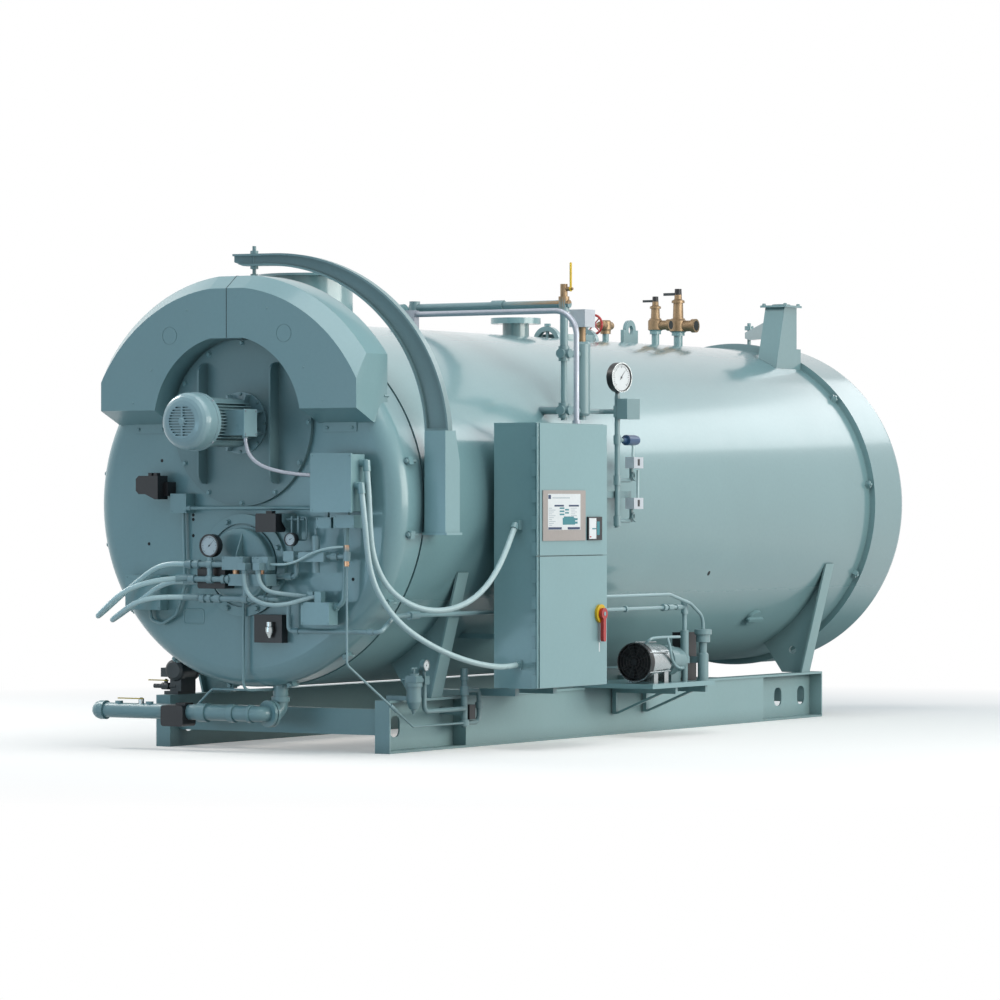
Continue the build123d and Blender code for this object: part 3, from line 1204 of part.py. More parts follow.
# Air inlet shroud: a chamfered arch over the blower, cut off at both sides, with mounting tabs on the door
with BuildPart() as air_inlet_shroud:
    with BuildSketch(Plane.YZ) as skin:
        with BuildLine():
            Polyline(
                (shroud_front_y, shroud_axis_z),
                (shroud_front_y, shroud_axis_z + shroud_face_r),
                (shroud_skin_y, shroud_axis_z + shroud_skin_r),
                (shroud_rear_y, shroud_axis_z + shroud_skin_r),
                (shroud_rear_y, shroud_axis_z),
                close=True,
            )
        make_face()
    revolve(skin.sketch, axis=Axis((0, 0, shroud_axis_z), (0, 1, 0)))
    slope_top = (shroud_skin_top_z - shroud_face_top_z) / (shroud_skin_y - shroud_front_y)
    slope_bottom = (shroud_heel_z - shroud_bottom_z) / (door_face_y - shroud_front_y)
    reach = 100.0
    with BuildSketch(Plane.YZ) as trim:
        with BuildLine():
            Polyline(
                (shroud_front_y - reach, shroud_face_top_z - slope_top * reach),
                (shroud_skin_y, shroud_skin_top_z),
                (shroud_rear_y + reach, shroud_skin_top_z),
                (shroud_rear_y + reach, shroud_skin_top_z + reach),
                (shroud_front_y - reach, shroud_skin_top_z + reach),
                close=True,
            )
        make_face()
        with BuildLine():
            Polyline(
                (shroud_front_y - reach, shroud_bottom_z - slope_bottom * reach),
                (door_face_y, shroud_heel_z),
                (shroud_rear_y + reach, shroud_heel_z),
                (shroud_rear_y + reach, 0),
                (shroud_front_y - reach, 0),
                close=True,
            )
        make_face()
    extrude(trim.sketch, amount=1.2 * shroud_skin_r, both=True, mode=Mode.SUBTRACT)
    for side in (-1, 1):
        block(side * shroud_side_x, side * 1.2 * shroud_skin_r, shroud_front_y - reach, shroud_rear_y + reach,
              0, shroud_skin_top_z + reach, mode=Mode.SUBTRACT)
    with BuildSketch(Plane.XZ.offset(-door_face_y)) as arch:
        with Locations((0, shroud_arch_z)):
            Circle(shroud_arch_r)
        with Locations((0, shroud_arch_top_z + reach)):
            Rectangle(2 * shroud_arch_r, 2 * reach, mode=Mode.SUBTRACT)
        with Locations((0, shroud_arch_z - shroud_arch_r)):
            Rectangle(2 * shroud_arch_r, 2 * shroud_arch_r)
    extrude(arch.sketch, amount=door_face_y - shroud_front_y + reach, mode=Mode.SUBTRACT)
    with BuildSketch(Plane.YZ) as door_room:
        with BuildLine():
            door_outline(seat_gap)
        make_face()
    revolve(door_room.sketch, axis=shell_axis, mode=Mode.SUBTRACT)
    door_lugs(seat_gap, Mode.SUBTRACT)
    with BuildSketch(Plane.XZ.offset(-shroud_front_y)) as plugs:
        with Locations((-shroud_plug_x, shroud_plug_z), (shroud_plug_x, shroud_plug_z)):
            Circle(shroud_plug_r)
            Circle(shroud_plug_r - shroud_plug_groove, mode=Mode.SUBTRACT)
    extrude(plugs.sketch, amount=-shroud_plug_groove_depth, mode=Mode.SUBTRACT)
    for side in (-1, 1):
        tab_face_y = door_face_y - seat_gap
        block(side * shroud_tab_inner_x, side * shroud_tab_outer_x, tab_face_y - shroud_tab_thickness,
              tab_face_y,
              shroud_heel_z - shroud_tab_height, shroud_heel_z + 4)
finish(air_inlet_shroud, "air_inlet_shroud")

# Blower plate with two upright ribs on edge
with BuildPart() as blower_plate:
    turned((0, door_face_y, blower_z), (0, -1, 0),
           [(blower_plate_r, 0), (blower_plate_r, blower_plate_thickness)])
    for side in (-1, 1):
        with BuildSketch(Plane.YZ.offset(side * blower_rib_x - blower_rib_thickness / 2)) as rib:
            low = blower_z - blower_rib_below
            high = blower_z + blower_rib_above
            edge = blower_face_y - blower_rib_depth
            with BuildLine():
                Line((blower_face_y + 2, low), (blower_face_y + 2, high))
                Line((blower_face_y + 2, high), (edge + blower_rib_corner, high))
                RadiusArc((edge + blower_rib_corner, high), (edge, high - blower_rib_corner),
                          -blower_rib_corner)
                Line((edge, high - blower_rib_corner), (edge, low + blower_rib_corner))
                RadiusArc((edge, low + blower_rib_corner), (edge + blower_rib_corner, low),
                          -blower_rib_corner)
                Line((edge + blower_rib_corner, low), (blower_face_y + 2, low))
            make_face()
        extrude(rib.sketch, amount=blower_rib_thickness)
finish(blower_plate, "blower_plate")

# Blower motor: ribbed adapter, frame with parallel fins, domed fan cowl with a slotted grille, terminal box
with BuildPart() as blower_motor:
    turned((0, blower_face_y, blower_z), (0, -1, 0), [
        (motor_adapter_r, 0), (motor_adapter_r, motor_adapter_plate), (motor_hub_r, motor_adapter_plate),
        (motor_hub_r, motor_adapter_depth),
    ])
    with BuildSketch(Plane.XZ.offset(-blower_face_y)) as ribs:
        with Locations((0, blower_z)):
            with PolarLocations(118, 8, start_angle=22.5):
                Rectangle(110, 12)
    extrude(ribs.sketch, amount=motor_adapter_depth)
    with BuildSketch(Plane.XZ.offset(-adapter_y)) as frame:
        with Locations((0, blower_z)):
            Circle(motor_body_r)
        for fin in range(-motor_side_fins, motor_side_fins + 1):
            offset = fin * motor_fin_pitch
            with Locations((0, blower_z + offset)):
                Rectangle(2 * sqrt(motor_fin_r**2 - offset**2), motor_fin_thickness)
        for fin in range(-motor_top_fins, motor_top_fins + 1):
            offset = fin * motor_fin_pitch
            with Locations((offset, blower_z)):
                Rectangle(motor_fin_thickness, 2 * sqrt(motor_fin_r**2 - offset**2))
    extrude(frame.sketch, amount=motor_frame_depth)
    turned((0, motor_cowl_rear_y, blower_z), (0, -1, 0), [
        (motor_cowl_r + 4, -10), (motor_cowl_r + 4, 16), (motor_cowl_r, 18), (motor_cowl_r, 84), (160, 96),
        (151, 113),
        (136, 128), (118, 137), (98, motor_cowl_depth),
    ])
    with BuildSketch(Plane.XZ.offset(-motor_cowl_front_y)) as grille:
        for row in range(-cowl_slot_rows, cowl_slot_rows + 1):
            offset = row * cowl_slot_pitch
            half = sqrt(cowl_grille_r**2 - offset**2)
            start = max(6, sqrt(max(cowl_boss_r**2 - offset**2, 0)) + 4)
            for side in (-1, 1):
                with Locations((side * (half + start) / 2, blower_z + offset)):
                    Rectangle(half - start, cowl_slot_height)
    extrude(grille.sketch, amount=-cowl_slot_depth, mode=Mode.SUBTRACT)
    turned((0, motor_cowl_front_y, blower_z), (0, -1, 0),
           [(cowl_boss_r, -2), (cowl_boss_r, 2), (cowl_boss_r - 4, 6)])
    block(100, 252, adapter_y - 288, adapter_y - 172, blower_z - 78, blower_z + 66)
    block(252, 262, adapter_y - 294, adapter_y - 166, blower_z - 84, blower_z + 72)
    gland(motor_whip_route[1], motor_whip_route[0], 34, 30)
finish(blower_motor, "blower_motor")

# Burner plate with its drawer, a shallow drum with a gusset on its face
gusset_x = 26.0
with BuildPart() as burner_plate:
    turned((0, door_face_y, furnace_axis_z), (0, -1, 0),
           [(burner_plate_r, 0), (burner_plate_r, burner_plate_thickness)])
    with BuildSketch(Plane.XZ.offset(burner_groove_floor - door_face_y)) as groove:
        with Locations((0, furnace_axis_z)):
            Circle(burner_groove_r)
            Circle(burner_groove_r - burner_groove_width, mode=Mode.SUBTRACT)
    extrude(groove.sketch, amount=burner_plate_thickness, mode=Mode.SUBTRACT)
    turned((0, door_face_y, furnace_axis_z), (0, -1, 0), [
        (burner_drawer_r, 0), (burner_drawer_r, burner_drawer_depth - 15),
        (burner_drawer_r - 4, burner_drawer_depth - 7),
        (burner_drawer_r - 12, burner_drawer_depth - 2), (burner_drawer_r - 25, burner_drawer_depth),
    ])
    with BuildSketch(Plane.YZ.offset(gusset_x)) as gusset:
        with BuildLine():
            Polyline(
                (drawer_face_y + 2, furnace_axis_z + 190),
                (drawer_face_y - 58, furnace_axis_z + 67),
                (drawer_face_y - 58, furnace_axis_z - 10),
                (drawer_face_y + 2, furnace_axis_z - 10),
                close=True,
            )
        make_face()
    extrude(gusset.sketch, amount=8)
finish(burner_plate, "burner_plate")

# Oil and atomising piping on the burner drawer
solenoid_x = 0.0
solenoid_low_z = furnace_axis_z - 24.0
riser_x = 350.0
crossing_y = door_face_y - 65.0
crossing_z = 707.0
with BuildPart() as burner_piping:
    block(40, 300, burner_pipe_y - 12, burner_pipe_y + 95, oil_return_z - 37, oil_return_z + 30)
    block(60, 200, burner_pipe_y + 90, drawer_face_y, oil_return_z - 30, oil_return_z + 22)
    gland(upper_hose_route[1], upper_hose_route[0], 40, 50)
    rod((-235, burner_pipe_y, oil_supply_z), (solenoid_x - seat_gap, burner_pipe_y, oil_supply_z),
        burner_pipe_d)
    rod((gauge_1_x, burner_pipe_y, oil_return_z),
        (gauge_1_x, burner_pipe_y, gauge_1_z - gauge_1_r - seat_gap),
        burner_pipe_d)
    rod((-245, burner_pipe_y, oil_return_z), (50, burner_pipe_y, oil_return_z), burner_pipe_d)
    rod((-175, burner_pipe_y, atomising_z), (310, burner_pipe_y, atomising_z), burner_pipe_d)
    rod((150, burner_pipe_y, atomising_z), (150, burner_pipe_y, oil_return_z), burner_pipe_d)
    for x, z, length in (
        (-245, oil_supply_z, 24), (-205, oil_supply_z, 36), (-112, oil_supply_z, 36),
        (-240, oil_return_z, 40),
        (-112, oil_return_z, 36), (-12, oil_return_z, 24), (24, oil_return_z, 20), (-160, atomising_z, 30),
        (-110, atomising_z, 26), (-60, atomising_z, 40), (130, atomising_z, 40), (250, atomising_z, 40),
    ):
        rod((x, burner_pipe_y, z), (x + length, burner_pipe_y, z), fitting_d)
    for x in (73, 245):
        rod((x, burner_pipe_y + 18, oil_return_z + 20), (x, burner_pipe_y + 18, solenoid_low_z - seat_gap),
            40)
    gland(upper_hose_route[-2], upper_hose_route[-1], 40, 80)
    gland(lower_hose_route[1], lower_hose_route[0], 40, 115)
    gland(lower_hose_route[-2], lower_hose_route[-1], 40, 90)
    pipe([(300, burner_pipe_y, atomising_z), (riser_x, burner_pipe_y, atomising_z),
          (riser_x, crossing_y, atomising_z),
          (riser_x, crossing_y, crossing_z), (air_pipe_x - 10, crossing_y, crossing_z),
          (air_pipe_x, shell_front_y - 205, air_pipe_z),
          (air_pipe_x, shell_front_y - seat_gap / 2, air_pipe_z)],
         air_pipe_d, 30)
    for ring_x in (riser_x + 36, air_pipe_x - 90):
        rod((ring_x, crossing_y, crossing_z), (ring_x + 34, crossing_y, crossing_z), 38)
    rod((air_pipe_x, shell_front_y - 50, air_pipe_z),
        (air_pipe_x, shell_front_y - seat_gap / 2, air_pipe_z), 46)
finish(burner_piping, "burner_piping")

# Solenoid valve boxes over the oil block, each with a knockout for its lead
with BuildPart() as solenoid_valves:
    block(solenoid_x, solenoid_x + 146, burner_pipe_y - 20, burner_pipe_y + 55, solenoid_low_z,
          solenoid_low_z + 76)
    block(195, 304, burner_pipe_y, burner_pipe_y + 75, solenoid_low_z, solenoid_low_z + 76)
    block(138, 190, -3242, burner_pipe_y + 20, solenoid_low_z, solenoid_low_z + 40)
    block(240, 284, -3236, burner_pipe_y + 20, solenoid_low_z, solenoid_low_z + 40)
    for route in (first_lead_route, second_lead_route):
        gland(route[1], route[0], 32, 24)
finish(solenoid_valves, "solenoid_valves")

# Pilot gas train: from the burner plate up to two valve bodies in line, then to the tee of the pilot line
train_y = door_face_y - 130.0
train_z = furnace_axis_z + 55.0
tee_x = 790.0
with BuildPart() as pilot_gas_train:
    pipe([(262, burner_face_y, 1018), (262, train_y + 50, 1018), (413, train_y + 50, 1018),
          (413, train_y + 50, 1115)],
         30, 25)
    rod((345, train_y + 50, 1018), (385, train_y + 50, 1018), 44)
    case(380, 450, train_y - 36, train_y + 56, 1105, 1165, 10)
    rod((440, train_y, train_z), (tee_x, train_y, train_z), 28)
    case(483, 655, train_y - 36, train_y + 36, 1104, 1160, 8)
    turned((580, train_y, 1150), (0, 0, 1), [(24, 0), (24, 100), (14, 106), (8, 108), (8, 140)])
    rod((580, train_y, 1043), (580, train_y, 1110), 46)
    rod((690, train_y, train_z), (730, train_y, train_z), 46)
    rod((413, train_y, 1160), (413, train_y, gauge_2_z - gauge_2_r - seat_gap), 20)
    rod((tee_x, train_y, 1080), (tee_x, train_y, 1200), 30)
    rod((tee_x, train_y, train_z - 26), (tee_x, train_y, train_z + 26), 44)
    pipe([(tee_x, train_y, 1090), pilot_line_high,
          (pilot_line_parting.X, pilot_line_parting.Y, pilot_line_parting.Z)],
         pilot_line_d, 40)
    rod(pilot_line_parting - pilot_line_run.normalized() * 30, pilot_line_parting, 24)
finish(pilot_gas_train, "pilot_gas_train")

# Burner gauges: cases with raised bezels
with BuildPart() as burner_gauges:
    turned((gauge_1_x, burner_pipe_y + 40, gauge_1_z), (0, -1, 0), [
        (gauge_1_r - 8, 0), (gauge_1_r, 6), (gauge_1_r, 50), (gauge_1_r - 8, 50), (gauge_1_r - 8, 45),
    ])
    turned((gauge_2_x, train_y + 12, gauge_2_z), (0, -1, 0), [
        (gauge_2_r - 6, 0), (gauge_2_r, 4), (gauge_2_r, 38), (gauge_2_r - 5, 38), (gauge_2_r - 5, 35),
    ])
finish(burner_gauges, "burner_gauges")

# Junction boxes, their covers and the conduits between them on the door
with BuildPart() as junction_boxes:
    block(600, box_right_x - 6, -3166, -3030, 1391, 1714)
    block(594, box_right_x, -3180, -3166, 1385, 1720)
    for z in (1440, 1640):
        block(640, 830, -3030, door_face_y, z, z + 40)
    block(593, 695, -3120, -3040, 1296, 1357)
    block(712, 850, -3120, -3030, 1297, 1371)
    for x in (644, 781):
        block(x - 20, x + 20, -3045, door_face_y, 1310, 1345)
        block(x - 10, x + 10, -3090, -3070, 1340, 1392)
    block(-462, -350, -3060, door_face_y, 1380, 1493)
    rod((-352, -3045, 1409), (605, -3045, 1409), 21)
    for ring_x in (-350, 568):
        rod((ring_x, -3045, 1409), (ring_x + 26, -3045, 1409), 32)
    pipe([(-410, -3003, 1382), (-396, -3003, 960), (-460, -3003, 790), (-560, -3003, 735), (-640, -3003, 760),
          (-646, -3003, 818)], 20, 40)
    block(490, 682, -3120, -3030, 746, 875)
    block(560, 620, -3035, door_face_y, 780, 840)
    pipe([(670, -3060, 850), (742, -3060, 850), (762, -3060, 1300)], 30, 60)
    rod((682, -3060, 850), (704, -3060, 850), 42)
    block(578, 622, -3112, -3066, 875, 936)
    block(510, 546, -3083, -3040, 875, 934)
    for route in (first_lead_route, second_lead_route):
        gland(route[-2], route[-1], 34, 30)
    block(-791, -540, -3050, door_face_y, 816, 1018)
    block(108, 299, -3030, door_face_y, 637, 798)
    turned((228, -3050, 757), (0, 0, -1), [(18, 0), (18, 26), (24, 30), (24, 56), (6, 92)])
    block(216, 240, -3050, -3030, 735, 750)
    for route in (upper_conduit_route, lower_conduit_route):
        x, y, z = route[0]
        gland(route[1], route[0], 44, 62)
        rod((box_right_x - 6, y, z + 46), (x, y, z + 46), 44)
    gland(motor_whip_route[-2], motor_whip_route[-1], 34, 30)
finish(junction_boxes, "junction_boxes")

# Damper actuators on brackets, one left of the blower plate, one beside the burner with its linkage, and the
# oil regulator behind the supply pipes
link_y = door_face_y - 96.0
with BuildPart() as damper_actuators:
    with BuildSketch(Plane.XZ.offset(3020)) as left_case:
        with BuildLine():
            Polyline((-665, 1510), (-665, 1578), (-645, 1597), (-509, 1597), (-509, 1460), (-530, 1460),
                     (-600, 1490),
                     (-645, 1490), close=True)
        make_face()
    extrude(left_case.sketch, amount=100)
    for x in (-594, -556):
        block(x, x + 24, -3095, -3060, 1595, 1614)
    block(-520, -486, -3050, door_face_y, 1480, 1560)
    case(198, 338, -3150, -3050, 1272, 1379, 10)
    block(300, 336, -3060, door_face_y, 1290, 1350)
    block(250, 290, -3120, -3080, 1376, 1394)
    with BuildSketch(Plane.YZ.offset(346)) as link_plate:
        with BuildLine():
            Polyline((door_face_y, 1245), (door_face_y, 1378), (-3100, 1378), (-3100, 1330), (-3010, 1245),
                     close=True)
        make_face()
    extrude(link_plate.sketch, amount=10)
    rod((330, link_y, 1345), (480, link_y, 1345), 16)
    for x in (396, 440):
        block(x, x + 10, link_y - 16, link_y + 16, 1232, 1362)
    pipe([(440, link_y, 1358), (494, link_y, 1358), (494, link_y, 1228), (430, link_y, 1228)], 11, 16)
    case(-214.5, -22, -3138, drawer_face_y, 946, 1098, 14)
finish(damper_actuators, "damper_actuators")

# Gas header hung from the door by its riser, with a cock, a butterfly valve, a flange pair and sensing lines
header_y = door_face_y + 15.0
header_z = 222.0
header_d = 89.0
riser_y = shell_front_y - 100.0
gas_riser_x = 135.0
cock_x = -745.0
cock_z = header_z + 68.0
sense_x = 20.0
sense_y = door_face_y - 40.0
sense_z = 360.0
with BuildPart() as gas_header:
    pipe([(-1030, header_y, header_z), (90, header_y, header_z), (gas_riser_x, riser_y, header_z),
          (gas_riser_x, riser_y, 450)], header_d, 60)
    turned((-1010, header_y, header_z), (-1, 0, 0), [(56, -14), (56, 24), (50, 46), (36, 64), (14, 75)])
    for x, length, diameter in ((-330, 62, 110), (-112, 40, 106), (24, 20, 106)):
        rod((x, header_y, header_z), (x + length, header_y, header_z), diameter)
    flange_run = Vector(gas_riser_x - 90, riser_y - header_y, 0)
    flange_middle = Vector(90, header_y, header_z) + flange_run * 0.5
    turned((flange_middle.X, flange_middle.Y, flange_middle.Z), (flange_run.X, flange_run.Y, 0),
           [(78, -22), (78, -3), (70, -2), (70, 2), (78, 3), (78, 22)])
    rod((gas_riser_x, riser_y, 290), (gas_riser_x, riser_y, 318), 108)
    case(-555, -398, header_y - 72, header_y + 60, 140, 262, 18)
    block(-470, -402, header_y - 40, header_y + 40, 255, 276)
    for x in (-905, -685):
        rod((x, header_y, header_z), (x, header_y, header_z + 56), 46)
    rod((cock_x, header_y, header_z), (cock_x, header_y, cock_z), 34)
    rod((cock_x, header_y, cock_z), (cock_x, header_y, cock_z + 12), 2 * stem_r)
    pipe([(sense_x, sense_y, furnace_axis_z - burner_drawer_r), (sense_x, sense_y, sense_z),
          (gas_riser_x - 12, riser_y, sense_z)], 16, 40)
    branch = (header_y - sense_y) / (riser_y - sense_y)
    pipe([(sense_x + branch * (gas_riser_x - 12 - sense_x), header_y, sense_z), (-240, header_y, sense_z),
          (-350, header_y, header_z + 38)], 13, 40)
    with Locations(Plane(origin=(0, door_face_y, shell_axis_z), z_dir=(0, 1, 0))):
        Cylinder(door_r + seat_gap, door_depth, align=(Align.CENTER, Align.CENTER, Align.MIN),
                 mode=Mode.SUBTRACT)
finish(gas_header, "gas_header")

with BuildPart() as header_valve_lever:
    ball_valve_lever((cock_x, header_y, cock_z + seat_gap), (0, 0, 1), (-1, 0, 0), 160)
finish(header_valve_lever, "header_valve_lever")

# Davit arm: a curved I-beam from its pin in the bracket to the hanger over the shroud, open at the tip
arm_reach = sqrt(davit_x**2 + (davit_y - davit_tip_y) ** 2)
arm_along = Vector(-davit_x, davit_tip_y - davit_y, 0) / arm_reach
arm_plane = Plane(origin=(davit_x, davit_y, 0), x_dir=arm_along, z_dir=arm_along.cross(Vector(0, 0, 1)))
arm_base_z = davit_bracket_top + seat_gap
arm_outer = -65.0
arm_inner = 81.0
arm_tip = arm_reach + davit_tip_overhang


def arm_outline(inset):
    """Side view of the davit arm, drawn inside its outline by one amount but run out past the tip."""
    base = arm_base_z + inset
    outer = arm_outer + inset
    inner = arm_inner - inset
    top = davit_tip_top_z - inset
    bottom = davit_tip_bottom_z + inset
    outer_r = davit_outer_r - inset
    inner_r = davit_inner_r + inset
    tip = arm_tip + inset
    outer_foot = outer + outer_r - sqrt(outer_r**2 - (base - top + outer_r) ** 2)
    inner_foot = inner + inner_r - sqrt(inner_r**2 - (base - bottom + inner_r) ** 2)
    Line((inner_foot, base), (outer_foot, base))
    RadiusArc((outer_foot, base), (outer + outer_r, top), outer_r)
    Line((outer + outer_r, top), (tip, top))
    Line((tip, top), (tip, bottom))
    Line((tip, bottom), (inner + inner_r, bottom))
    RadiusArc((inner + inner_r, bottom), (inner_foot, base), -inner_r)


with BuildPart() as davit_arm:
    with BuildSketch(arm_plane) as beam:
        with BuildLine():
            arm_outline(0)
        make_face()
    extrude(beam.sketch, amount=davit_flange / 2, both=True)
    for side in (-1, 1):
        with BuildSketch(arm_plane.offset(side * davit_web / 2)) as pocket:
            with BuildLine():
                arm_outline(davit_flange_thickness)
            make_face()
        extrude(pocket.sketch, amount=side * davit_flange / 2, mode=Mode.SUBTRACT)
    with BuildSketch(arm_plane) as tip_cut:
        with BuildLine():
            Polyline(
                (arm_tip - davit_bottom_flange_cutback, davit_tip_bottom_z - 1),
                (arm_tip + 1, davit_tip_bottom_z - 1),
                (arm_tip + 1, davit_tip_bottom_z + 2 * davit_flange_thickness),
                close=True,
            )
        make_face()
    extrude(tip_cut.sketch, amount=davit_flange, both=True, mode=Mode.SUBTRACT)
    rod((davit_x, davit_y, davit_bracket_bottom + 60),
        (davit_x, davit_y, arm_base_z + davit_flange_thickness),
        2 * davit_pin_r)
    rod((0, davit_tip_y, shroud_skin_top_z + seat_gap), (0, davit_tip_y, hanger_top_z), hanger_d)
    for nut_z in (davit_tip_top_z, davit_tip_bottom_z - hanger_nut_height, shroud_skin_top_z + seat_gap):
        rod((0, davit_tip_y, nut_z), (0, davit_tip_y, nut_z + hanger_nut_height), hanger_nut_d)
finish(davit_arm, "davit_arm")

# Flexible conduits from the door to the cabinet, the motor's whip, the two oil hoses and the solenoids' leads
for cord_name, cord_routes, cord_d in (
    ("upper_conduit", [upper_conduit_route], conduit_d),
    ("lower_conduit", [lower_conduit_route], conduit_d),
    ("motor_whip", [motor_whip_route], whip_d),
    ("upper_oil_hose", [upper_hose_route], oil_hose_d),
    ("lower_oil_hose", [lower_hose_route], oil_hose_d),
    ("solenoid_leads", [first_lead_route, second_lead_route], lead_d),
):
    with BuildPart() as flexible:
        for cord_route in cord_routes:
            radii = cord(cord_route, cord_d)
            print(cord_name, "smallest bend in diameters:", round(min(radii) / cord_d, 1))
    finish(flexible, cord_name)
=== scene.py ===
"""Looks of a packaged fire-tube boiler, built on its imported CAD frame.

Metres, +Z up, burner end towards -Y, control cabinet on the +X side.
"""
import math

import bmesh
import bpy
from mathutils import Matrix, Vector


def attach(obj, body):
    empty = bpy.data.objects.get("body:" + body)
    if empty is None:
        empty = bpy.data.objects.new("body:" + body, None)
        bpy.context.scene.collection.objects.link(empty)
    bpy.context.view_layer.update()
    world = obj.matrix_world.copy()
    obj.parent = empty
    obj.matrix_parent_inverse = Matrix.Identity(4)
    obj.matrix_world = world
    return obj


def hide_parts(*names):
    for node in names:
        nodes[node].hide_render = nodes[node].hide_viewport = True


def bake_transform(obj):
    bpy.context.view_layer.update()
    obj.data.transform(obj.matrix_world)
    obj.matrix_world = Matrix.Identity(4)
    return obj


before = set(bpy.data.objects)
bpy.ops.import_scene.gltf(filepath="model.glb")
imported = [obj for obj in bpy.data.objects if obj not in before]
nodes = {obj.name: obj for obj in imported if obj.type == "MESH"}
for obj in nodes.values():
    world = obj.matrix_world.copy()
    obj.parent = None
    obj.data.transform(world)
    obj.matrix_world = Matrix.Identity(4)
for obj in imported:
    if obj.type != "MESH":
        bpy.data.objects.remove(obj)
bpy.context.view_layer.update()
scene = bpy.context.scene

# Camera
# Long lens, level, with the horizon just below the middle of the picture.
# It was placed by the rails, the cabinet and the bolt circle of the blower.
camera_data = bpy.data.cameras.new("camera")
camera_data.sensor_width = 36.0
camera_data.lens = 161.49
camera_data.shift_y = 0.0061
camera_data.clip_end = 200.0
camera_turn = 31.33
camera = bpy.data.objects.new("camera", camera_data)
camera.location = (14.7139, -24.3086, 1.4207)
camera.rotation_euler = (math.pi / 2, 0, math.radians(camera_turn))
scene.collection.objects.link(camera)
scene.camera = camera
scene.view_settings.view_transform = "Standard"
scene.render.film_transparent = False


# Flexible conduits
# Two steel conduits with a smooth plastic cover, screwed into the large box on the door and into the cabinet.
# They hang in a slack curve, because the door swings, and have only faint ribs.
def math_node(tree, operation, first, second):
    """Arithmetic on two values or sockets."""
    made = tree.nodes.new("ShaderNodeMath")
    made.operation = operation
    for place, value in enumerate((first, second)):
        if isinstance(value, (int, float)):
            made.inputs[place].default_value = value
        else:
            tree.links.new(value, made.inputs[place])
    return made.outputs[0]


def noise(tree, coordinates, scale, detail):
    """Noise texture on given coordinates."""
    texture = tree.nodes.new("ShaderNodeTexNoise")
    texture.inputs["Scale"].default_value = scale
    texture.inputs["Detail"].default_value = detail
    tree.links.new(coordinates, texture.inputs["Vector"])
    return texture.outputs["Fac"]


def spread(tree, value, low, high, start=0.3, end=0.7):
    """Maps a value onto a range."""
    ranged = tree.nodes.new("ShaderNodeMapRange")
    ranged.inputs["From Min"].default_value = start
    ranged.inputs["From Max"].default_value = end
    ranged.inputs["To Min"].default_value = low
    ranged.inputs["To Max"].default_value = high
    tree.links.new(value, ranged.inputs["Value"])
    return ranged.outputs["Result"]


def effects(name, mottle, gloss_change, grain_scale, grain_depth):
    """Group for mottled colour with painted shade darkening the corners, uneven gloss and a fine grain."""
    broad_scale = 1.3
    fine_scale = 46
    gloss_scale = 6
    corner_shade_reach = 0.10
    grain_strength = 0.15
    group = bpy.data.node_groups.new(name, "ShaderNodeTree")
    for socket, kind, default in (
        ("Color", "NodeSocketColor", (0.5, 0.5, 0.5, 1)),
        ("Roughness", "NodeSocketFloat", 0.4),
        ("Corner Shade", "NodeSocketFloat", 0.5),
    ):
        group.interface.new_socket(socket, in_out="INPUT", socket_type=kind).default_value = default
    for socket, kind in (
        ("Color", "NodeSocketColor"),
        ("Roughness", "NodeSocketFloat"),
        ("Normal", "NodeSocketVector"),
    ):
        group.interface.new_socket(socket, in_out="OUTPUT", socket_type=kind)
    start = group.nodes.new("NodeGroupInput")
    end = group.nodes.new("NodeGroupOutput")
    place = group.nodes.new("ShaderNodeTexCoord").outputs["Object"]
    broad = noise(group, place, scale=broad_scale, detail=2)
    broad = spread(group, broad, low=1 - mottle, high=1 + mottle)
    fine = noise(group, place, scale=fine_scale, detail=3)
    fine = spread(group, fine, low=1 - mottle / 2, high=1 + mottle / 2)
    # Ambient occlusion darkens the colour in corners and creases as painted shade, by the amount that comes
    # in.
    hollow = group.nodes.new("ShaderNodeAmbientOcclusion")
    hollow.inputs["Distance"].default_value = corner_shade_reach
    hollow.samples = 4
    shade = math_node(group, "SUBTRACT", 1.0, hollow.outputs["AO"])
    shade = math_node(group, "MULTIPLY", shade, start.outputs["Corner Shade"])
    shade = math_node(group, "SUBTRACT", 1.0, shade)
    level = math_node(group, "MULTIPLY", math_node(group, "MULTIPLY", broad, fine), shade)
    tint = group.nodes.new("ShaderNodeVectorMath")
    tint.operation = "SCALE"
    group.links.new(start.outputs["Color"], tint.inputs[0])
    group.links.new(level, tint.inputs["Scale"])
    uneven = noise(group, place, scale=gloss_scale, detail=3)
    uneven = spread(group, uneven, low=1 - gloss_change, high=1 + gloss_change)
    bump = group.nodes.new("ShaderNodeBump")
    bump.inputs["Strength"].default_value = grain_strength
    bump.inputs["Distance"].default_value = grain_depth
    group.links.new(noise(group, place, scale=grain_scale, detail=2), bump.inputs["Height"])
    group.links.new(tint.outputs["Vector"], end.inputs["Color"])
    group.links.new(math_node(group, "MULTIPLY", start.outputs["Roughness"], uneven), end.inputs["Roughness"])
    group.links.new(bump.outputs["Normal"], end.inputs["Normal"])
    return group


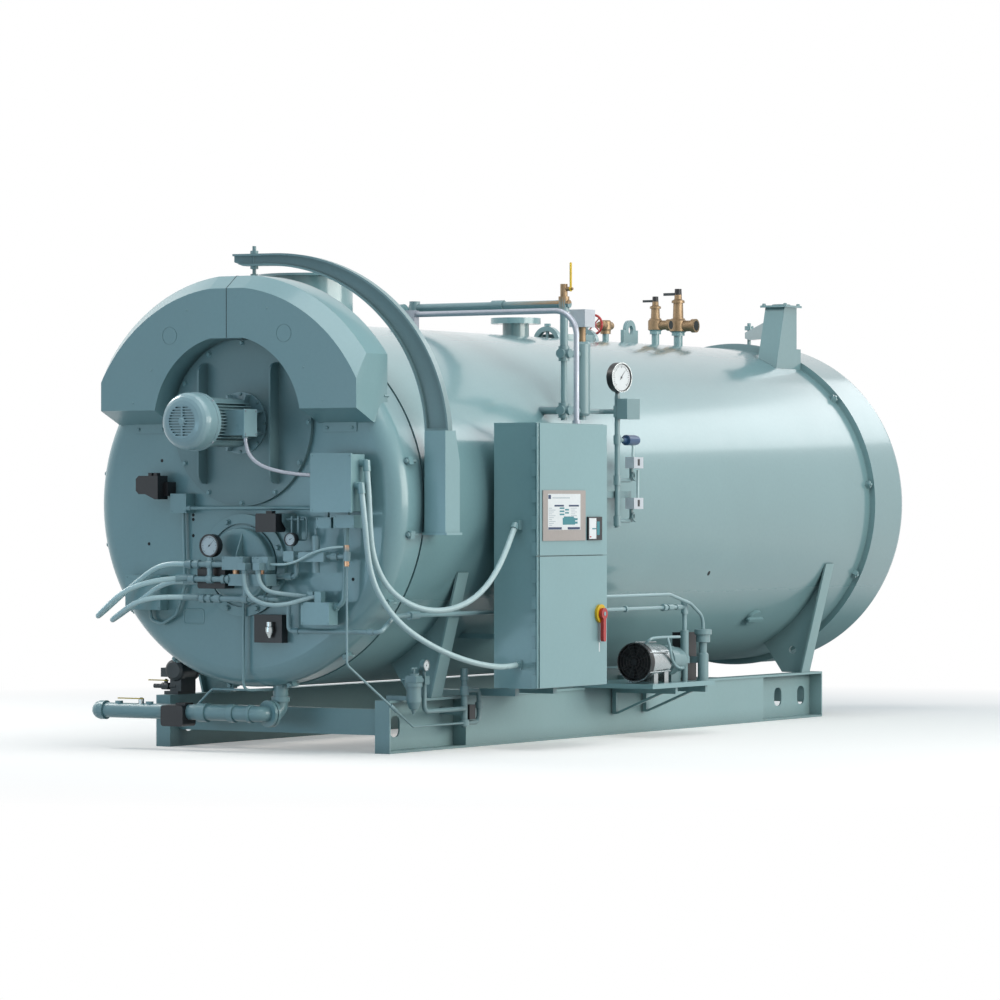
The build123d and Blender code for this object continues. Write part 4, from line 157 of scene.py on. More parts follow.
def material(name, group, color, roughness, metallic=0.0, coat=0.0, corner_shade=0.4):
    """Material with its own shader, fed by one of the groups."""
    coat_roughness = 0.11
    made = bpy.data.materials.new(name)
    made.use_nodes = True
    tree = made.node_tree
    surface = tree.nodes["Principled BSDF"]
    surface.inputs["Metallic"].default_value = metallic
    surface.inputs["Coat Weight"].default_value = coat
    surface.inputs["Coat Roughness"].default_value = coat_roughness
    uneven = tree.nodes.new("ShaderNodeGroup")
    uneven.node_tree = group
    uneven.inputs["Color"].default_value = (*color, 1)
    uneven.inputs["Roughness"].default_value = roughness
    # This sets how much the group darkens corners as painted shade.
    uneven.inputs["Corner Shade"].default_value = corner_shade
    tree.links.new(uneven.outputs["Color"], surface.inputs["Base Color"])
    tree.links.new(uneven.outputs["Roughness"], surface.inputs["Roughness"])
    tree.links.new(uneven.outputs["Normal"], surface.inputs["Normal"])
    return made


def curve_points(name, route):
    """Close points along the smooth curve that a route in millimetres controls."""
    curve = bpy.data.curves.new(name, "CURVE")
    curve.dimensions = "3D"
    curve.resolution_u = 16
    spline = curve.splines.new("NURBS")
    spline.points.add(len(route) - 1)
    for point, place in zip(spline.points, route):
        point.co = (place[0] / 1000, place[1] / 1000, place[2] / 1000, 1)
    spline.order_u = 3
    spline.use_endpoint_u = True
    holder = bpy.data.objects.new(name, curve)
    scene.collection.objects.link(holder)
    line = bpy.data.meshes.new_from_object(holder)
    points = [vertex.co.copy() for vertex in line.vertices]
    bpy.data.objects.remove(holder)
    bpy.data.curves.remove(curve)
    bpy.data.meshes.remove(line)
    return points


def run_length(points):
    """Length of a line through points."""
    return sum((after - before).length for before, after in zip(points, points[1:]))


def even_points(points, step):
    """The same line with its points at even steps."""
    total = run_length(points)
    count = max(2, round(total / step))
    made = [points[0].copy()]
    walked = 0.0
    for before, after in zip(points, points[1:]):
        span = (after - before).length
        while len(made) < count and walked + span >= total * len(made) / count:
            share = (total * len(made) / count - walked) / span
            made.append(before.lerp(after, share))
        walked += span
    made.append(points[-1].copy())
    return made


def add_tube(shape, points, radius, sides=12, rib=0.0, ribbed=(0.0, 1.0)):
    """Tube along points, ribbed at every fourth point between two shares of its length."""
    normal = None
    rings = []
    for index, point in enumerate(points):
        before = points[max(index - 1, 0)]
        after = points[min(index + 1, len(points) - 1)]
        along = (after - before).normalized()
        if normal is None:
            normal = along.orthogonal().normalized()
        normal = (normal - along * normal.dot(along)).normalized()
        across = along.cross(normal)
        share = index / (len(points) - 1)
        size = radius
        if rib and ribbed[0] < share < ribbed[1]:
            size = radius - rib * (0.5 - 0.5 * math.cos(math.pi * index / 2))
        ring = []
        for corner in range(sides):
            angle = math.tau * corner / sides
            out = normal * math.cos(angle) + across * math.sin(angle)
            ring.append(shape.verts.new(point + out * size))
        rings.append(ring)
    for first, second in zip(rings, rings[1:]):
        for corner in range(sides):
            following = (corner + 1) % sides
            shape.faces.new((first[corner], first[following], second[following], second[corner]))
    shape.faces.new(list(reversed(rings[0])))
    shape.faces.new(rings[-1])


def mesh_piece(name, shape, finish, fold=35):
    """Object made of a shape, smooth up to a fold in degrees."""
    mesh = bpy.data.meshes.new(name)
    bmesh.ops.recalc_face_normals(shape, faces=shape.faces)
    shape.to_mesh(mesh)
    shape.free()
    mesh.materials.append(finish)
    mesh.polygons.foreach_set("use_smooth", [True] * len(mesh.polygons))
    mesh.set_sharp_from_angle(angle=math.radians(fold))
    made = bpy.data.objects.new(name, mesh)
    scene.collection.objects.link(made)
    return made


def flexible_line(name, node, route, diameter, pitch, rib, ribbed, finish):
    """Tube along a route in place of its CAD node, which it hides."""
    path = even_points(curve_points(name, route), pitch / 4)
    tube = bmesh.new()
    add_tube(tube, path, radius=diameter / 2, sides=14, rib=rib, ribbed=ribbed)
    line = mesh_piece(name, tube, finish, fold=80)
    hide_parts(node)
    return line


def dress(finish, *names):
    """Gives whole CAD nodes one finish, smooth up to a fold."""
    fold = 32
    for name in names:
        mesh = nodes[name].data
        mesh.materials.clear()
        mesh.materials.append(finish)
        mesh.polygons.foreach_set("use_smooth", [True] * len(mesh.polygons))
        mesh.set_sharp_from_angle(angle=math.radians(fold))


moulding = effects("moulding", mottle=0.05, gloss_change=0.15, grain_scale=700.0, grain_depth=0.0005)
conduit_cover = material("conduit_cover", moulding, (0.56, 0.71, 0.71), roughness=0.30, corner_shade=0.3)
door_body = "front_door_assembly"
conduit_d = 0.034
conduit_pitch = 0.010
conduit_rib = 0.0005
conduit_ribbed = (0.02, 0.98)
conduit_start_x = 907.0
conduit_run_x = 372.0
upper_conduit_route = [
    (conduit_start_x + share * conduit_run_x, y, z)
    for share, y, z in (
        (0.000, -3070, 1618), (0.019, -3066, 1510), (0.030, -3062, 1395), (0.040, -3060, 1280),
        (0.062, -3050, 1165), (0.116, -3025, 1060), (0.210, -2985, 968), (0.331, -2925, 898),
        (0.465, -2845, 850), (0.599, -2750, 826), (0.728, -2650, 828), (0.847, -2550, 855),
        (0.941, -2455, 905), (1.003, -2365, 975), (1.030, -2280, 1060), (1.030, -2200, 1150),
        (1.013, -2134, 1228), (1.000, -2082, 1287),
    )
]
lower_conduit_route = [
    (conduit_start_x + share * conduit_run_x, y, z)
    for share, y, z in (
        (0.000, -3125, 1490), (0.029, -3121, 1390), (0.045, -3113, 1285), (0.052, -3100, 1180),
        (0.066, -3082, 1075), (0.110, -3055, 975), (0.189, -3022, 890), (0.291, -2985, 812),
        (0.420, -2925, 735), (0.549, -2845, 672), (0.661, -2750, 620), (0.759, -2650, 578),
        (0.840, -2545, 545), (0.908, -2440, 520), (0.961, -2335, 503), (0.992, -2232, 494),
        (1.003, -2140, 494), (1.000, -2061, 499),
    )
]
for level, route in (("upper", upper_conduit_route), ("lower", lower_conduit_route)):
    conduit = flexible_line(
        level + "_conduit_tube", level + "_conduit", route,
        diameter=conduit_d, pitch=conduit_pitch, rib=conduit_rib, ribbed=conduit_ribbed, finish=conduit_cover,
    )
    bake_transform(conduit)
    dress(conduit_cover, level + "_conduit")

# Motor whip
# Short bare conduit of wound zinc-coated strip that feeds the blower motor.
# It is screwed into the motor's terminal box and into the large junction box.
casting = effects("casting", mottle=0.10, gloss_change=0.25, grain_scale=380.0, grain_depth=0.0012)
zinc = material("zinc", casting, (0.44, 0.47, 0.53), roughness=0.42, metallic=0.6)
motor_whip_route = [
    (225, -3291, 1806), (231, -3289, 1758), (249, -3284, 1713), (281, -3275, 1675), (326, -3262, 1647),
    (380, -3246, 1628), (437, -3226, 1614), (492, -3203, 1605), (541, -3179, 1599), (584, -3158, 1597),
]
whip = flexible_line(
    "motor_whip_tube", "motor_whip", motor_whip_route,
    diameter=0.024, pitch=0.008, rib=0.0016, ribbed=(0.03, 0.97), finish=zinc,
)
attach(whip, door_body)
dress(conduit_cover, "motor_whip")

# Oil hoses
# Two metal hoses that loop off the burner, corrugated along the loop and smooth at the swaged ends.
# Both ends of each are screwed to the burner's pipes, so they swing with the door.
hose_cover = material("hose_cover", moulding, (0.70, 0.87, 0.86), roughness=0.32, corner_shade=0.3)
upper_hose_route = [
    (-268, -3180, 1086), (-340, -3179, 1089), (-412, -3170, 1084), (-484, -3152, 1068), (-555, -3130, 1041),
    (-622, -3116, 1004), (-692, -3111, 961), (-744, -3120, 915), (-783, -3153, 868), (-803, -3205, 826),
    (-801, -3268, 797), (-779, -3332, 783), (-738, -3388, 789), (-685, -3427, 812), (-628, -3444, 850),
    (-576, -3435, 896), (-520, -3414, 935), (-462, -3380, 965), (-405, -3336, 985), (-352, -3287, 998),
    (-300, -3236, 1004),
]
lower_hose_route = [
    (-330, -3100, 985), (-392, -3100, 985), (-452, -3102, 975), (-510, -3105, 953), (-564, -3109, 920),
    (-621, -3116, 881), (-666, -3146, 841), (-693, -3196, 804), (-699, -3258, 777), (-681, -3322, 763),
    (-644, -3378, 765), (-593, -3419, 782), (-535, -3437, 812), (-478, -3430, 851), (-424, -3410, 877),
    (-372, -3378, 892), (-325, -3337, 898), (-282, -3294, 899), (-240, -3250, 898),
]
for level, route in (("upper", upper_hose_route), ("lower", lower_hose_route)):
    hose = flexible_line(
        level + "_hose_tube", level + "_oil_hose", route,
        diameter=0.030, pitch=0.011, rib=0.0030, ribbed=(0.25, 0.75), finish=hose_cover,
    )
    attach(hose, door_body)
    dress(hose_cover, level + "_oil_hose")

# Solenoid leads
# Two covered leads that drop from the solenoid boxes and rise to the small junction box beside them.
# Each end sits in a gland, and both leads stay on the door.
first_lead_route = [
    (172, -3222, 1036), (175, -3224, 985), (197, -3230, 930), (245, -3238, 889), (312, -3234, 864),
    (385, -3212, 856), (455, -3170, 868), (514, -3128, 892), (566, -3090, 905),
]
second_lead_route = [
    (262, -3215, 1036), (267.5, -3215, 1001), (283.5, -3212, 970), (308, -3204, 945), (339, -3188, 930),
    (374, -3165, 924), (412, -3138, 919), (452, -3110, 913), (498, -3080, 908),
]
for order, route in (("first", first_lead_route), ("second", second_lead_route)):
    lead = flexible_line(
        order + "_lead_tube", "solenoid_leads", route,
        diameter=0.026, pitch=0.008, rib=0.0010, ribbed=(0.03, 0.97), finish=conduit_cover,
    )
    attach(lead, door_body)
dress(conduit_cover, "solenoid_leads")

# Base
# Two channel rails with cross members between them and plate saddles that carry the vessel.
# All of it is welded steel under one coat of dull paint.
enamel = effects("enamel", mottle=0.03, gloss_change=0.12, grain_scale=130.0, grain_depth=0.0003)
base_paint = material("base_paint", enamel, (0.320, 0.475, 0.480), roughness=0.42, coat=0.05, corner_shade=0.6)
dress(base_paint, "base_rail_right", "base_rail_left", "base_cross_members", "front_saddles", "rear_saddles")

# Vessel
# Pressure vessel under insulation and a rolled sheet casing, with lugs, stack outlet and steam nozzle welded
# on its crown and a handhole low on its side. Its gloss paint is dull where the casing turns to the floor.
vessel_coat = 0.6
vessel_paint = material("vessel_paint", enamel, (0.235, 0.390, 0.405), roughness=0.22, coat=vessel_coat)
dull_height = 0.78
dull_fade = 0.12
dull_roughness = 0.55
tree = vessel_paint.node_tree
surface = tree.nodes["Principled BSDF"]
gloss = surface.inputs["Roughness"].links[0].from_socket
height = tree.nodes.new("ShaderNodeSeparateXYZ")
tree.links.new(tree.nodes.new("ShaderNodeTexCoord").outputs["Object"], height.inputs[0])
coated = spread(
    tree, height.outputs["Z"], low=0.0, high=1.0, start=dull_height - dull_fade, end=dull_height + dull_fade,
)
tree.links.new(math_node(tree, "MULTIPLY", coated, vessel_coat), surface.inputs["Coat Weight"])
dull = math_node(tree, "MULTIPLY", math_node(tree, "SUBTRACT", 1.0, coated), dull_roughness)
tree.links.new(math_node(tree, "ADD", gloss, dull), surface.inputs["Roughness"])
dress(vessel_paint, "shell", "lifting_lugs", "stack_outlet", "handhole", "steam_nozzle")


# Casing holes and clips
# Two plugged holes low on the casing's cabinet side, and the clips that hold its sheet at the rear ring.
# Each clip is a square pad with one bolt.
def add_rod(shape, start, end, radius, sides=16, end_radius=None):
    """Round or many-sided bar between two points, also tapered."""
    start = Vector(start)
    end = Vector(end)
    along = end - start
    turn = along.to_track_quat("Z", "Y").to_matrix().to_4x4()
    bmesh.ops.create_cone(
        shape, cap_ends=True, segments=sides, radius1=radius,
        radius2=radius if end_radius is None else end_radius, depth=along.length,
        matrix=Matrix.Translation((start + end) / 2) @ turn,
    )


def add_bolt(shape, place, axis, across, height):
    """Hexagon head with its washer, standing on a face."""
    place = Vector(place)
    axis = Vector(axis).normalized()
    washer = height * 0.22
    shoulder = height * 0.85
    corner_r = across * 0.55
    seat = place + axis * washer
    edge = place + axis * shoulder
    add_rod(shape, place, seat, radius=across * 0.72, sides=20)
    add_rod(shape, seat, edge, radius=corner_r, sides=6)
    add_rod(shape, edge, place + axis * height, radius=corner_r, sides=6, end_radius=across * 0.44)


def riding(name, shape, finish, body):
    """Finished piece that moves with a body."""
    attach(mesh_piece(name, shape, finish), body)


dark_slot = material("dark_slot", moulding, (0.020, 0.026, 0.028), roughness=0.80)
vessel_axis_z = 1.435
casing_r = 1.065
hole_root_r = casing_r - 0.0005
hole_r = 0.016
hole_rise = 0.0012
shape = bmesh.new()
for y, z in ((0.834, 0.992), (1.880, 0.690)):
    drop = z - vessel_axis_z
    out = Vector((math.sqrt(casing_r ** 2 - drop ** 2), 0, drop)).normalized()
    root = Vector((0, y, vessel_axis_z)) + out * hole_root_r
    add_rod(shape, root, root + out * hole_rise, radius=hole_r, sides=20)
riding("casing_holes", shape, dark_slot, "boiler")
clip_y = 2.895
clip_root_r = casing_r - 0.001
clip_height = 0.030
clip_r = 0.026
shape = bmesh.new()
for degrees in (41.5, 7.0, -26.0, -58.0, 76.0, 104.0, 139.0, 173.0, 206.0):
    angle = math.radians(degrees)
    out = Vector((math.cos(angle), 0, math.sin(angle)))
    root = Vector((0, clip_y, vessel_axis_z)) + out * clip_root_r
    add_rod(shape, root, root + out * clip_height, radius=clip_r, sides=4)
    add_bolt(shape, root + out * clip_height, out, across=0.020, height=0.010)
riding("casing_clips", shape, vessel_paint, "boiler")

# Rear door and davit
# Dished steel door against the ring at the vessel's rear end, hung from a davit of its own on the crown.
# The davit's foot is bolted down at four corners, and a large nut holds the hanger.
dress(vessel_paint, "rear_flange_ring", "rear_door", "rear_davit")
hanger_y = 3.188
foot_z = 2.784
shape = bmesh.new()
add_rod(shape, (0, hanger_y, 2.6405), (0, hanger_y, 2.668), radius=0.031, sides=6)
for x in (0.385, 0.547):
    for y in (2.683, 2.872):
        add_bolt(shape, (x, y, foot_z), (0, 0, 1), across=0.022, height=0.014)
riding("rear_davit_bolts", shape, vessel_paint, "boiler")

# Manway
# Oval pressed cover on the crown, drawn up from inside the vessel by two yokes.
# One nut sits on the stud of each yoke.
dress(vessel_paint, "manway")
yoke_top_z = 2.575
shape = bmesh.new()
for y in (0.450, 0.930):
    add_rod(shape, (0, y, yoke_top_z), (0, y, yoke_top_z + 0.017), radius=0.021, sides=6)
riding("manway_nuts", shape, vessel_paint, "boiler")

# Front tube sheet and gasket
# Bare steel plate that closes the vessel behind the front door, with the furnace mouth in it.
# A black rope gasket lies in its rim and is pressed by the door.
bare_iron = material("bare_iron", casting, (0.16, 0.17, 0.17), roughness=0.50, metallic=0.7)
rope_gasket = material("rope_gasket", moulding, (0.012, 0.012, 0.012), roughness=0.8)
dress(bare_iron, "front_tube_sheet")
dress(rope_gasket, "door_gasket")

# Front door
# Dished steel door with a cast refractory lining. Bolts through the lugs on its skirt clamp it to the vessel.
# Its face has screwed plugs and the raised edge of a blank plate.
front_paint = material("front_paint", enamel, (0.266, 0.438, 0.455), roughness=0.34, coat=0.35)
refractory = material("refractory", casting, (0.50, 0.42, 0.32), roughness=0.9)
dress(front_paint, "front_door")
dress(refractory, "door_lining")
front = (0, -1, 0)
lug_count = 16
lug_first_angle = -99.5
lug_circle_r = 1.071
lug_front_y = -2.862
clamp_top_z = 1.80
shape = bmesh.new()
for lug in range(lug_count):
    angle = math.radians(lug_first_angle + lug * 360 / lug_count)
    x = lug_circle_r * math.cos(angle)
    z = vessel_axis_z + lug_circle_r * math.sin(angle)
    if z < clamp_top_z:
        add_rod(shape, (x, lug_front_y - 0.013, z), (x, lug_front_y + 0.087, z), radius=0.009, sides=12)
        add_bolt(shape, (x, lug_front_y, z), front, across=0.024, height=0.016)
riding("door_clamp_bolts", shape, base_paint, door_body)
door_face_y = -2.970
plug_rise = 0.003
shape = bmesh.new()
for x, z in (
    (-0.585, 1.686), (-0.678, 1.200), (-0.362, 1.369), (-0.362, 1.343), (-0.362, 1.249), (-0.183, 1.507),
    (0.747, 1.005),
):
    plug_top = (x, door_face_y - plug_rise, z)
    add_rod(shape, (x, door_face_y, z), plug_top, radius=0.010, sides=16, end_radius=0.007)
riding("door_face_screws", shape, dark_slot, door_body)
blank_corner_r = 0.015
blank_right_x = -0.302
blank_left_x = -0.412
blank_top_z = 0.807
blank_bottom_z = 0.753
outline = []
for corner_x, corner_z, start in (
    (blank_right_x, blank_top_z, 0), (blank_left_x, blank_top_z, 90),
    (blank_left_x, blank_bottom_z, 180), (blank_right_x, blank_bottom_z, 270),
):
    for step in range(5):
        angle = math.radians(start + 22.5 * step)
        x = corner_x + blank_corner_r * math.cos(angle)
        z = corner_z + blank_corner_r * math.sin(angle)
        outline.append(Vector((x, door_face_y, z)))
outline.append(outline[0].copy())
shape = bmesh.new()
add_tube(shape, outline, radius=0.004, sides=8)
riding("door_blank_plate", shape, front_paint, door_body)

# Door davit
# Welded bracket with a socket on the vessel's crown, and a curved beam on a pin in it that carries the door.
# The arm's paint is darkened as painted shade, and two nuts on its hanger set the door's height.
# Darker copy of the front paint that stands for shade: painted shade on the davit arm and on the blower plate
# in its recess.
shade_darkened_paint = material("shade_darkened_paint", enamel, (0.215, 0.330, 0.340), roughness=0.40, coat=0.15)
dress(front_paint, "davit_bracket")
dress(shade_darkened_paint, "davit_arm")
door_hanger_y = -2.872
hanger_nut_height = 0.016
shape = bmesh.new()
for z in (2.8805, 2.793):
    add_rod(shape, (0, door_hanger_y, z), (0, door_hanger_y, z + hanger_nut_height), radius=0.0235, sides=6)
riding("front_hanger_nuts", shape, front_paint, door_body)

# Air inlet shroud
# Sheet steel hood over the blower, in two halves that meet in a seam at the crown.
# Bolts hold its mounting tabs to the door, and round screws its face.
dress(front_paint, "air_inlet_shroud")
shroud_face_y = -3.155
shroud_crown_z = 2.745
seam = [
    Vector((0, -2.835, shroud_crown_z)), Vector((0, -3.050, shroud_crown_z)),
    Vector((0, shroud_face_y, 2.670)), Vector((0, shroud_face_y, 2.386)),
]
shape = bmesh.new()
add_tube(shape, seam, radius=0.002, sides=6)
riding("shroud_seam", shape, dark_slot, door_body)
tab_y = -2.9763
tab_z = 1.868
shroud_screw_rise = 0.003
shape = bmesh.new()
for sign in (-1, 1):
    for x in (0.575, 0.745):
        add_bolt(shape, (sign * x, tab_y, tab_z), front, across=0.016, height=0.009)
    for x, z in ((0.53, 2.21), (0.66, 2.02), (0.28, 2.55)):
        screw_root = (sign * x, shroud_face_y, z)
        screw_top = (sign * x, shroud_face_y - shroud_screw_rise, z)
        add_rod(shape, screw_root, screw_top, radius=0.007, sides=14, end_radius=0.005)
riding("shroud_screws", shape, front_paint, door_body)


# Blower plate
# Round steel plate that closes the blower's housing and carries the motor.
# Twelve bolts stand on its rim, and eight smaller ones hold the motor's adapter.
def circle_places(centre_x, centre_z, radius, count, start, y):
    """Places round a circle in a front view."""
    places = []
    for step in range(count):
        angle = math.radians(start + 360 * step / count)
        places.append((centre_x + radius * math.cos(angle), y, centre_z + radius * math.sin(angle)))
    return places


# The plate gets the darkened paint as painted shade for the recess under the shroud.
dress(shade_darkened_paint, "blower_plate")
blower_z = 1.9
shape = bmesh.new()
for place in circle_places(0, blower_z, radius=0.462, count=12, start=-90, y=-2.998):
    add_bolt(shape, place, front, across=0.024, height=0.013)
for place in circle_places(0, blower_z, radius=0.166, count=8, start=0, y=-3.012):
    add_bolt(shape, place, front, across=0.016, height=0.009)
riding("blower_plate_bolts", shape, front_paint, door_body)

# Blower motor
# Finned motor with a domed fan cowl and a terminal box on its side, painted paler than the door.
# Four screws hold the cowl and four the lid of the box.
motor_paint = material("motor_paint", enamel, (0.345, 0.510, 0.535), roughness=0.30, coat=0.35)
dress(motor_paint, "blower_motor")
cowl_screw_sink = 0.004
terminal_lid_x = 0.262
shape = bmesh.new()
for place in circle_places(0, blower_z, radius=0.168, count=4, start=45, y=-3.460):
    out = Vector((place[0], 0, place[2] - blower_z)).normalized()
    add_bolt(shape, Vector(place) - out * cowl_screw_sink, out, across=0.013, height=0.008)
for y in (-3.342, -3.238):
    for z in (1.828, 1.960):
        add_rod(shape, (terminal_lid_x, y, z), (terminal_lid_x + 0.003, y, z), radius=0.005, sides=12)
riding("motor_screws", shape, zinc, door_body)

# Burner plate
# Round plate over the burner's throat with a shallow drum on it, painted with the door.
# Eight studs with nuts on its outer land hold it.
dress(front_paint, "burner_plate")
burner_z = 1.08
shape = bmesh.new()
for place in circle_places(0, burner_z, radius=0.268, count=8, start=22.5, y=-2.992):
    add_bolt(shape, place, front, across=0.026, height=0.020)
riding("burner_plate_bolts", shape, front_paint, door_body)


# Burner pipes and pilot train
# Threaded steel pipes with solenoid valves and brass unions, made up on the burner and painted in place.
# A thin formed tube leads from the second valve to the pilot train's tee.
def paint(name, finish, region):
    """Gives the faces of a CAD node between two corners another finish."""
    low, high = region
    mesh = nodes[name].data
    if finish.name not in mesh.materials:
        mesh.materials.append(finish)
    index = list(mesh.materials).index(finish)
    for face in mesh.polygons:
        if all(low[axis] <= face.center[axis] <= high[axis] for axis in range(3)):
            face.material_index = index


line_paint = material("line_paint", enamel, (0.320, 0.470, 0.490), roughness=0.30, coat=0.2)
brass = material("brass", casting, (0.60, 0.36, 0.22), roughness=0.34, metallic=0.7)
dress(line_paint, "burner_piping", "solenoid_valves", "pilot_gas_train")
valve_unions = ((0.02, -3.20, 1.033), (0.30, -3.12, 1.06))
pilot_upper_union = ((0.765, -3.13, 1.175), (0.82, -3.07, 1.21))
pilot_lower_union = ((0.765, -3.13, 1.07), (0.82, -3.07, 1.11))
paint("burner_piping", brass, valve_unions)
paint("pilot_gas_train", brass, pilot_upper_union)
paint("pilot_gas_train", brass, pilot_lower_union)
pilot_tube_route = (
    (304, -3150, 1089), (360, -3160, 1088), (420, -3168, 1089), (500, -3172, 1107), (591, -3172, 1153),
    (684, -3165, 1180), (745, -3140, 1189), (772, -3112, 1190),
)
shape = bmesh.new()
add_tube(shape, curve_points("pilot_tube", pilot_tube_route), radius=0.007, sides=10)
riding("pilot_tube", shape, hose_cover, door_body)

# Junction boxes
# Sheet steel boxes on the door with conduits between them, and a black plate with a bright connector.
# The lids of these boxes and of the solenoid boxes have a screw in each corner.
black_plastic = material("black_plastic", moulding, (0.012, 0.013, 0.016), roughness=0.40)
steel = material("steel", casting, (0.46, 0.50, 0.51), roughness=0.26, metallic=0.9)
dress(front_paint, "junction_boxes")
connector_plate = ((0.10, -3.10, 0.60), (0.31, -2.96, 0.80))
connector = ((0.20, -3.08, 0.66), (0.256, -3.0302, 0.76))
paint("junction_boxes", black_plastic, connector_plate)
paint("junction_boxes", steel, connector)
lid_screw_rise = 0.003
shape = bmesh.new()
for left_x, right_x, bottom_z, top_z, lid_y in (
    (0.606, 0.858, 1.397, 1.708, -3.180),
    (0.602, 0.686, 1.304, 1.349, -3.120),
    (0.721, 0.841, 1.306, 1.362, -3.120),
    (0.500, 0.672, 0.756, 0.865, -3.120),
    (-0.779, -0.552, 0.828, 1.006, -3.050),
    (-0.452, -0.360, 1.390, 1.483, -3.060),
    (0.010, 0.128, 1.064, 1.124, -3.200),
    (0.203, 0.232, 1.064, 1.124, -3.180),
):
    for x in (left_x, right_x):
        for z in (bottom_z, top_z):
            screw_top = (x, lid_y - lid_screw_rise, z)
            add_rod(shape, (x, lid_y, z), screw_top, radius=0.005, sides=12, end_radius=0.004)
riding("box_screws", shape, front_paint, door_body)

# Damper actuators
# Two motor drives and an oil regulator in black moulded cases, on brackets that are screwed to the door.
# The drive over the burner turns the damper by a painted linkage.
pipe_paint = material("pipe_paint", enamel, (0.235, 0.360, 0.375), roughness=0.34, coat=0.15, corner_shade=0.55)
dress(black_plastic, "damper_actuators")
damper_linkage = ((0.338, -3.11, 1.21), (0.51, -2.96, 1.40))
paint("damper_actuators", pipe_paint, damper_linkage)

# Gas header
# Welded gas pipe hung from the door by its riser, with a flange pair and a butterfly valve in a black case.
# The cock on it has a bright stem and a lever in a vinyl sleeve.
yellow_vinyl = material("yellow_vinyl", moulding, (0.82, 0.53, 0.02), roughness=0.42)
dress(front_paint, "gas_header")
dress(yellow_vinyl, "header_valve_lever")
butterfly_valve = ((-0.56, -3.05, 0.13), (-0.39, -2.89, 0.28))
cock_stem = ((-0.765, -2.99, 0.262), (-0.725, -2.92, 0.31))
paint("gas_header", black_plastic, butterfly_valve)
paint("gas_header", steel, cock_stem)

# Control cabinet
# Folded sheet steel cabinet on two posts at the vessel's side, with two hinged doors and a rigid conduit.
# The lower door has a switch with a red handle, a yellow plate and a thin pale slot.
red_enamel = material("red_enamel", enamel, (0.52, 0.020, 0.018), roughness=0.30, coat=0.3)
bezel_grey = material("bezel_grey", moulding, (0.46, 0.40, 0.37), roughness=0.45)
white_face = material("white_face", moulding, (0.90, 0.91, 0.91), roughness=0.45, corner_shade=0.1)
dress(front_paint, "control_cabinet", "cabinet_upper_door", "cabinet_lower_door", "cabinet_posts")
dress(zinc, "cabinet_conduit")
dress(red_enamel, "disconnect_handle")
screen_bezel = ((1.4235, -2.01, 1.21), (1.4296, -1.51, 1.52))
control_case = ((1.4235, -1.50, 1.21), (1.4360, -1.33, 1.36))
switch_plate = ((1.4232, -1.405, 0.72), (1.4400, -1.285, 0.85))
paint("cabinet_upper_door", bezel_grey, screen_bezel)
paint("cabinet_upper_door", black_plastic, control_case)
paint("cabinet_lower_door", yellow_vinyl, switch_plate)


def add_box(shape, low, high):
    """Block between two corners."""
    low = Vector(low)
    high = Vector(high)
    size = high - low
    bmesh.ops.create_cube(
        shape, size=1, matrix=Matrix.Translation((low + high) / 2) @ Matrix.Diagonal((*size, 1)),
    )


lower_door_x = 1.4230
shape = bmesh.new()
add_box(shape, (lower_door_x, -1.350, 0.560), (lower_door_x + 0.0006, -1.340, 0.615))
riding("switch_slot", shape, white_face, "lower_cabinet_door")

# Screen
# Glass display in a moulded bezel on the cabinet's upper door.
# Its picture is a white field with plain bars and rows of lines.
upper_door = "upper_cabinet_door"
screen_blue = material("screen_blue", moulding, (0.010, 0.035, 0.110), roughness=0.35, corner_shade=0.1)
screen_green = material("screen_green", moulding, (0.04, 0.26, 0.30), roughness=0.35, corner_shade=0.1)
screen_grey = material("screen_grey", moulding, (0.42, 0.48, 0.52), roughness=0.35, corner_shade=0.1)
glass_x = 1.4300
shape = bmesh.new()
add_box(shape, (glass_x - 0.0010, -1.951, 1.282), (glass_x, -1.578, 1.492))
riding("screen_face", shape, white_face, upper_door)
dark_bars = (
    (-1.947, -1.795, 1.284, 1.298), (-1.726, -1.585, 1.284, 1.298), (-1.877, -1.770, 1.418, 1.428),
    (-1.712, -1.597, 1.418, 1.428), (-1.947, -1.917, 1.462, 1.486),
)
teal_bars = (
    (-1.783, -1.640, 1.312, 1.352), (-1.770, -1.655, 1.352, 1.360), (-1.640, -1.612, 1.318, 1.330),
    (-1.640, -1.612, 1.338, 1.350), (-1.818, -1.765, 1.404, 1.413), (-1.818, -1.765, 1.386, 1.395),
    (-1.818, -1.765, 1.368, 1.377), (-1.756, -1.712, 1.395, 1.404), (-1.756, -1.712, 1.377, 1.386),
)
for name, bars, finish in (
    ("screen_dark_fields", dark_bars, screen_blue),
    ("screen_teal_fields", teal_bars, screen_green),
):
    shape = bmesh.new()
    for left_y, right_y, bottom_z, top_z in bars:
        add_box(shape, (glass_x, left_y, bottom_z), (glass_x + 0.0004, right_y, top_z))
    riding(name, shape, finish, upper_door)
line_x = glass_x + 0.0003
line_height = 0.003
line_step = 0.011
lowest_line_z = 1.308
shape = bmesh.new()
for row in range(10):
    z = lowest_line_z + row * line_step
    add_box(shape, (glass_x, -1.940, z), (line_x, -1.905 + 0.02 * (row % 3), z + line_height))
    if row > 4:
        add_box(shape, (glass_x, -1.690, z), (line_x, -1.640 + 0.02 * (row % 2), z + line_height))
add_box(shape, (glass_x, -1.900, 1.466), (line_x, -1.700, 1.471))
riding("screen_grey_lines", shape, screen_grey, upper_door)

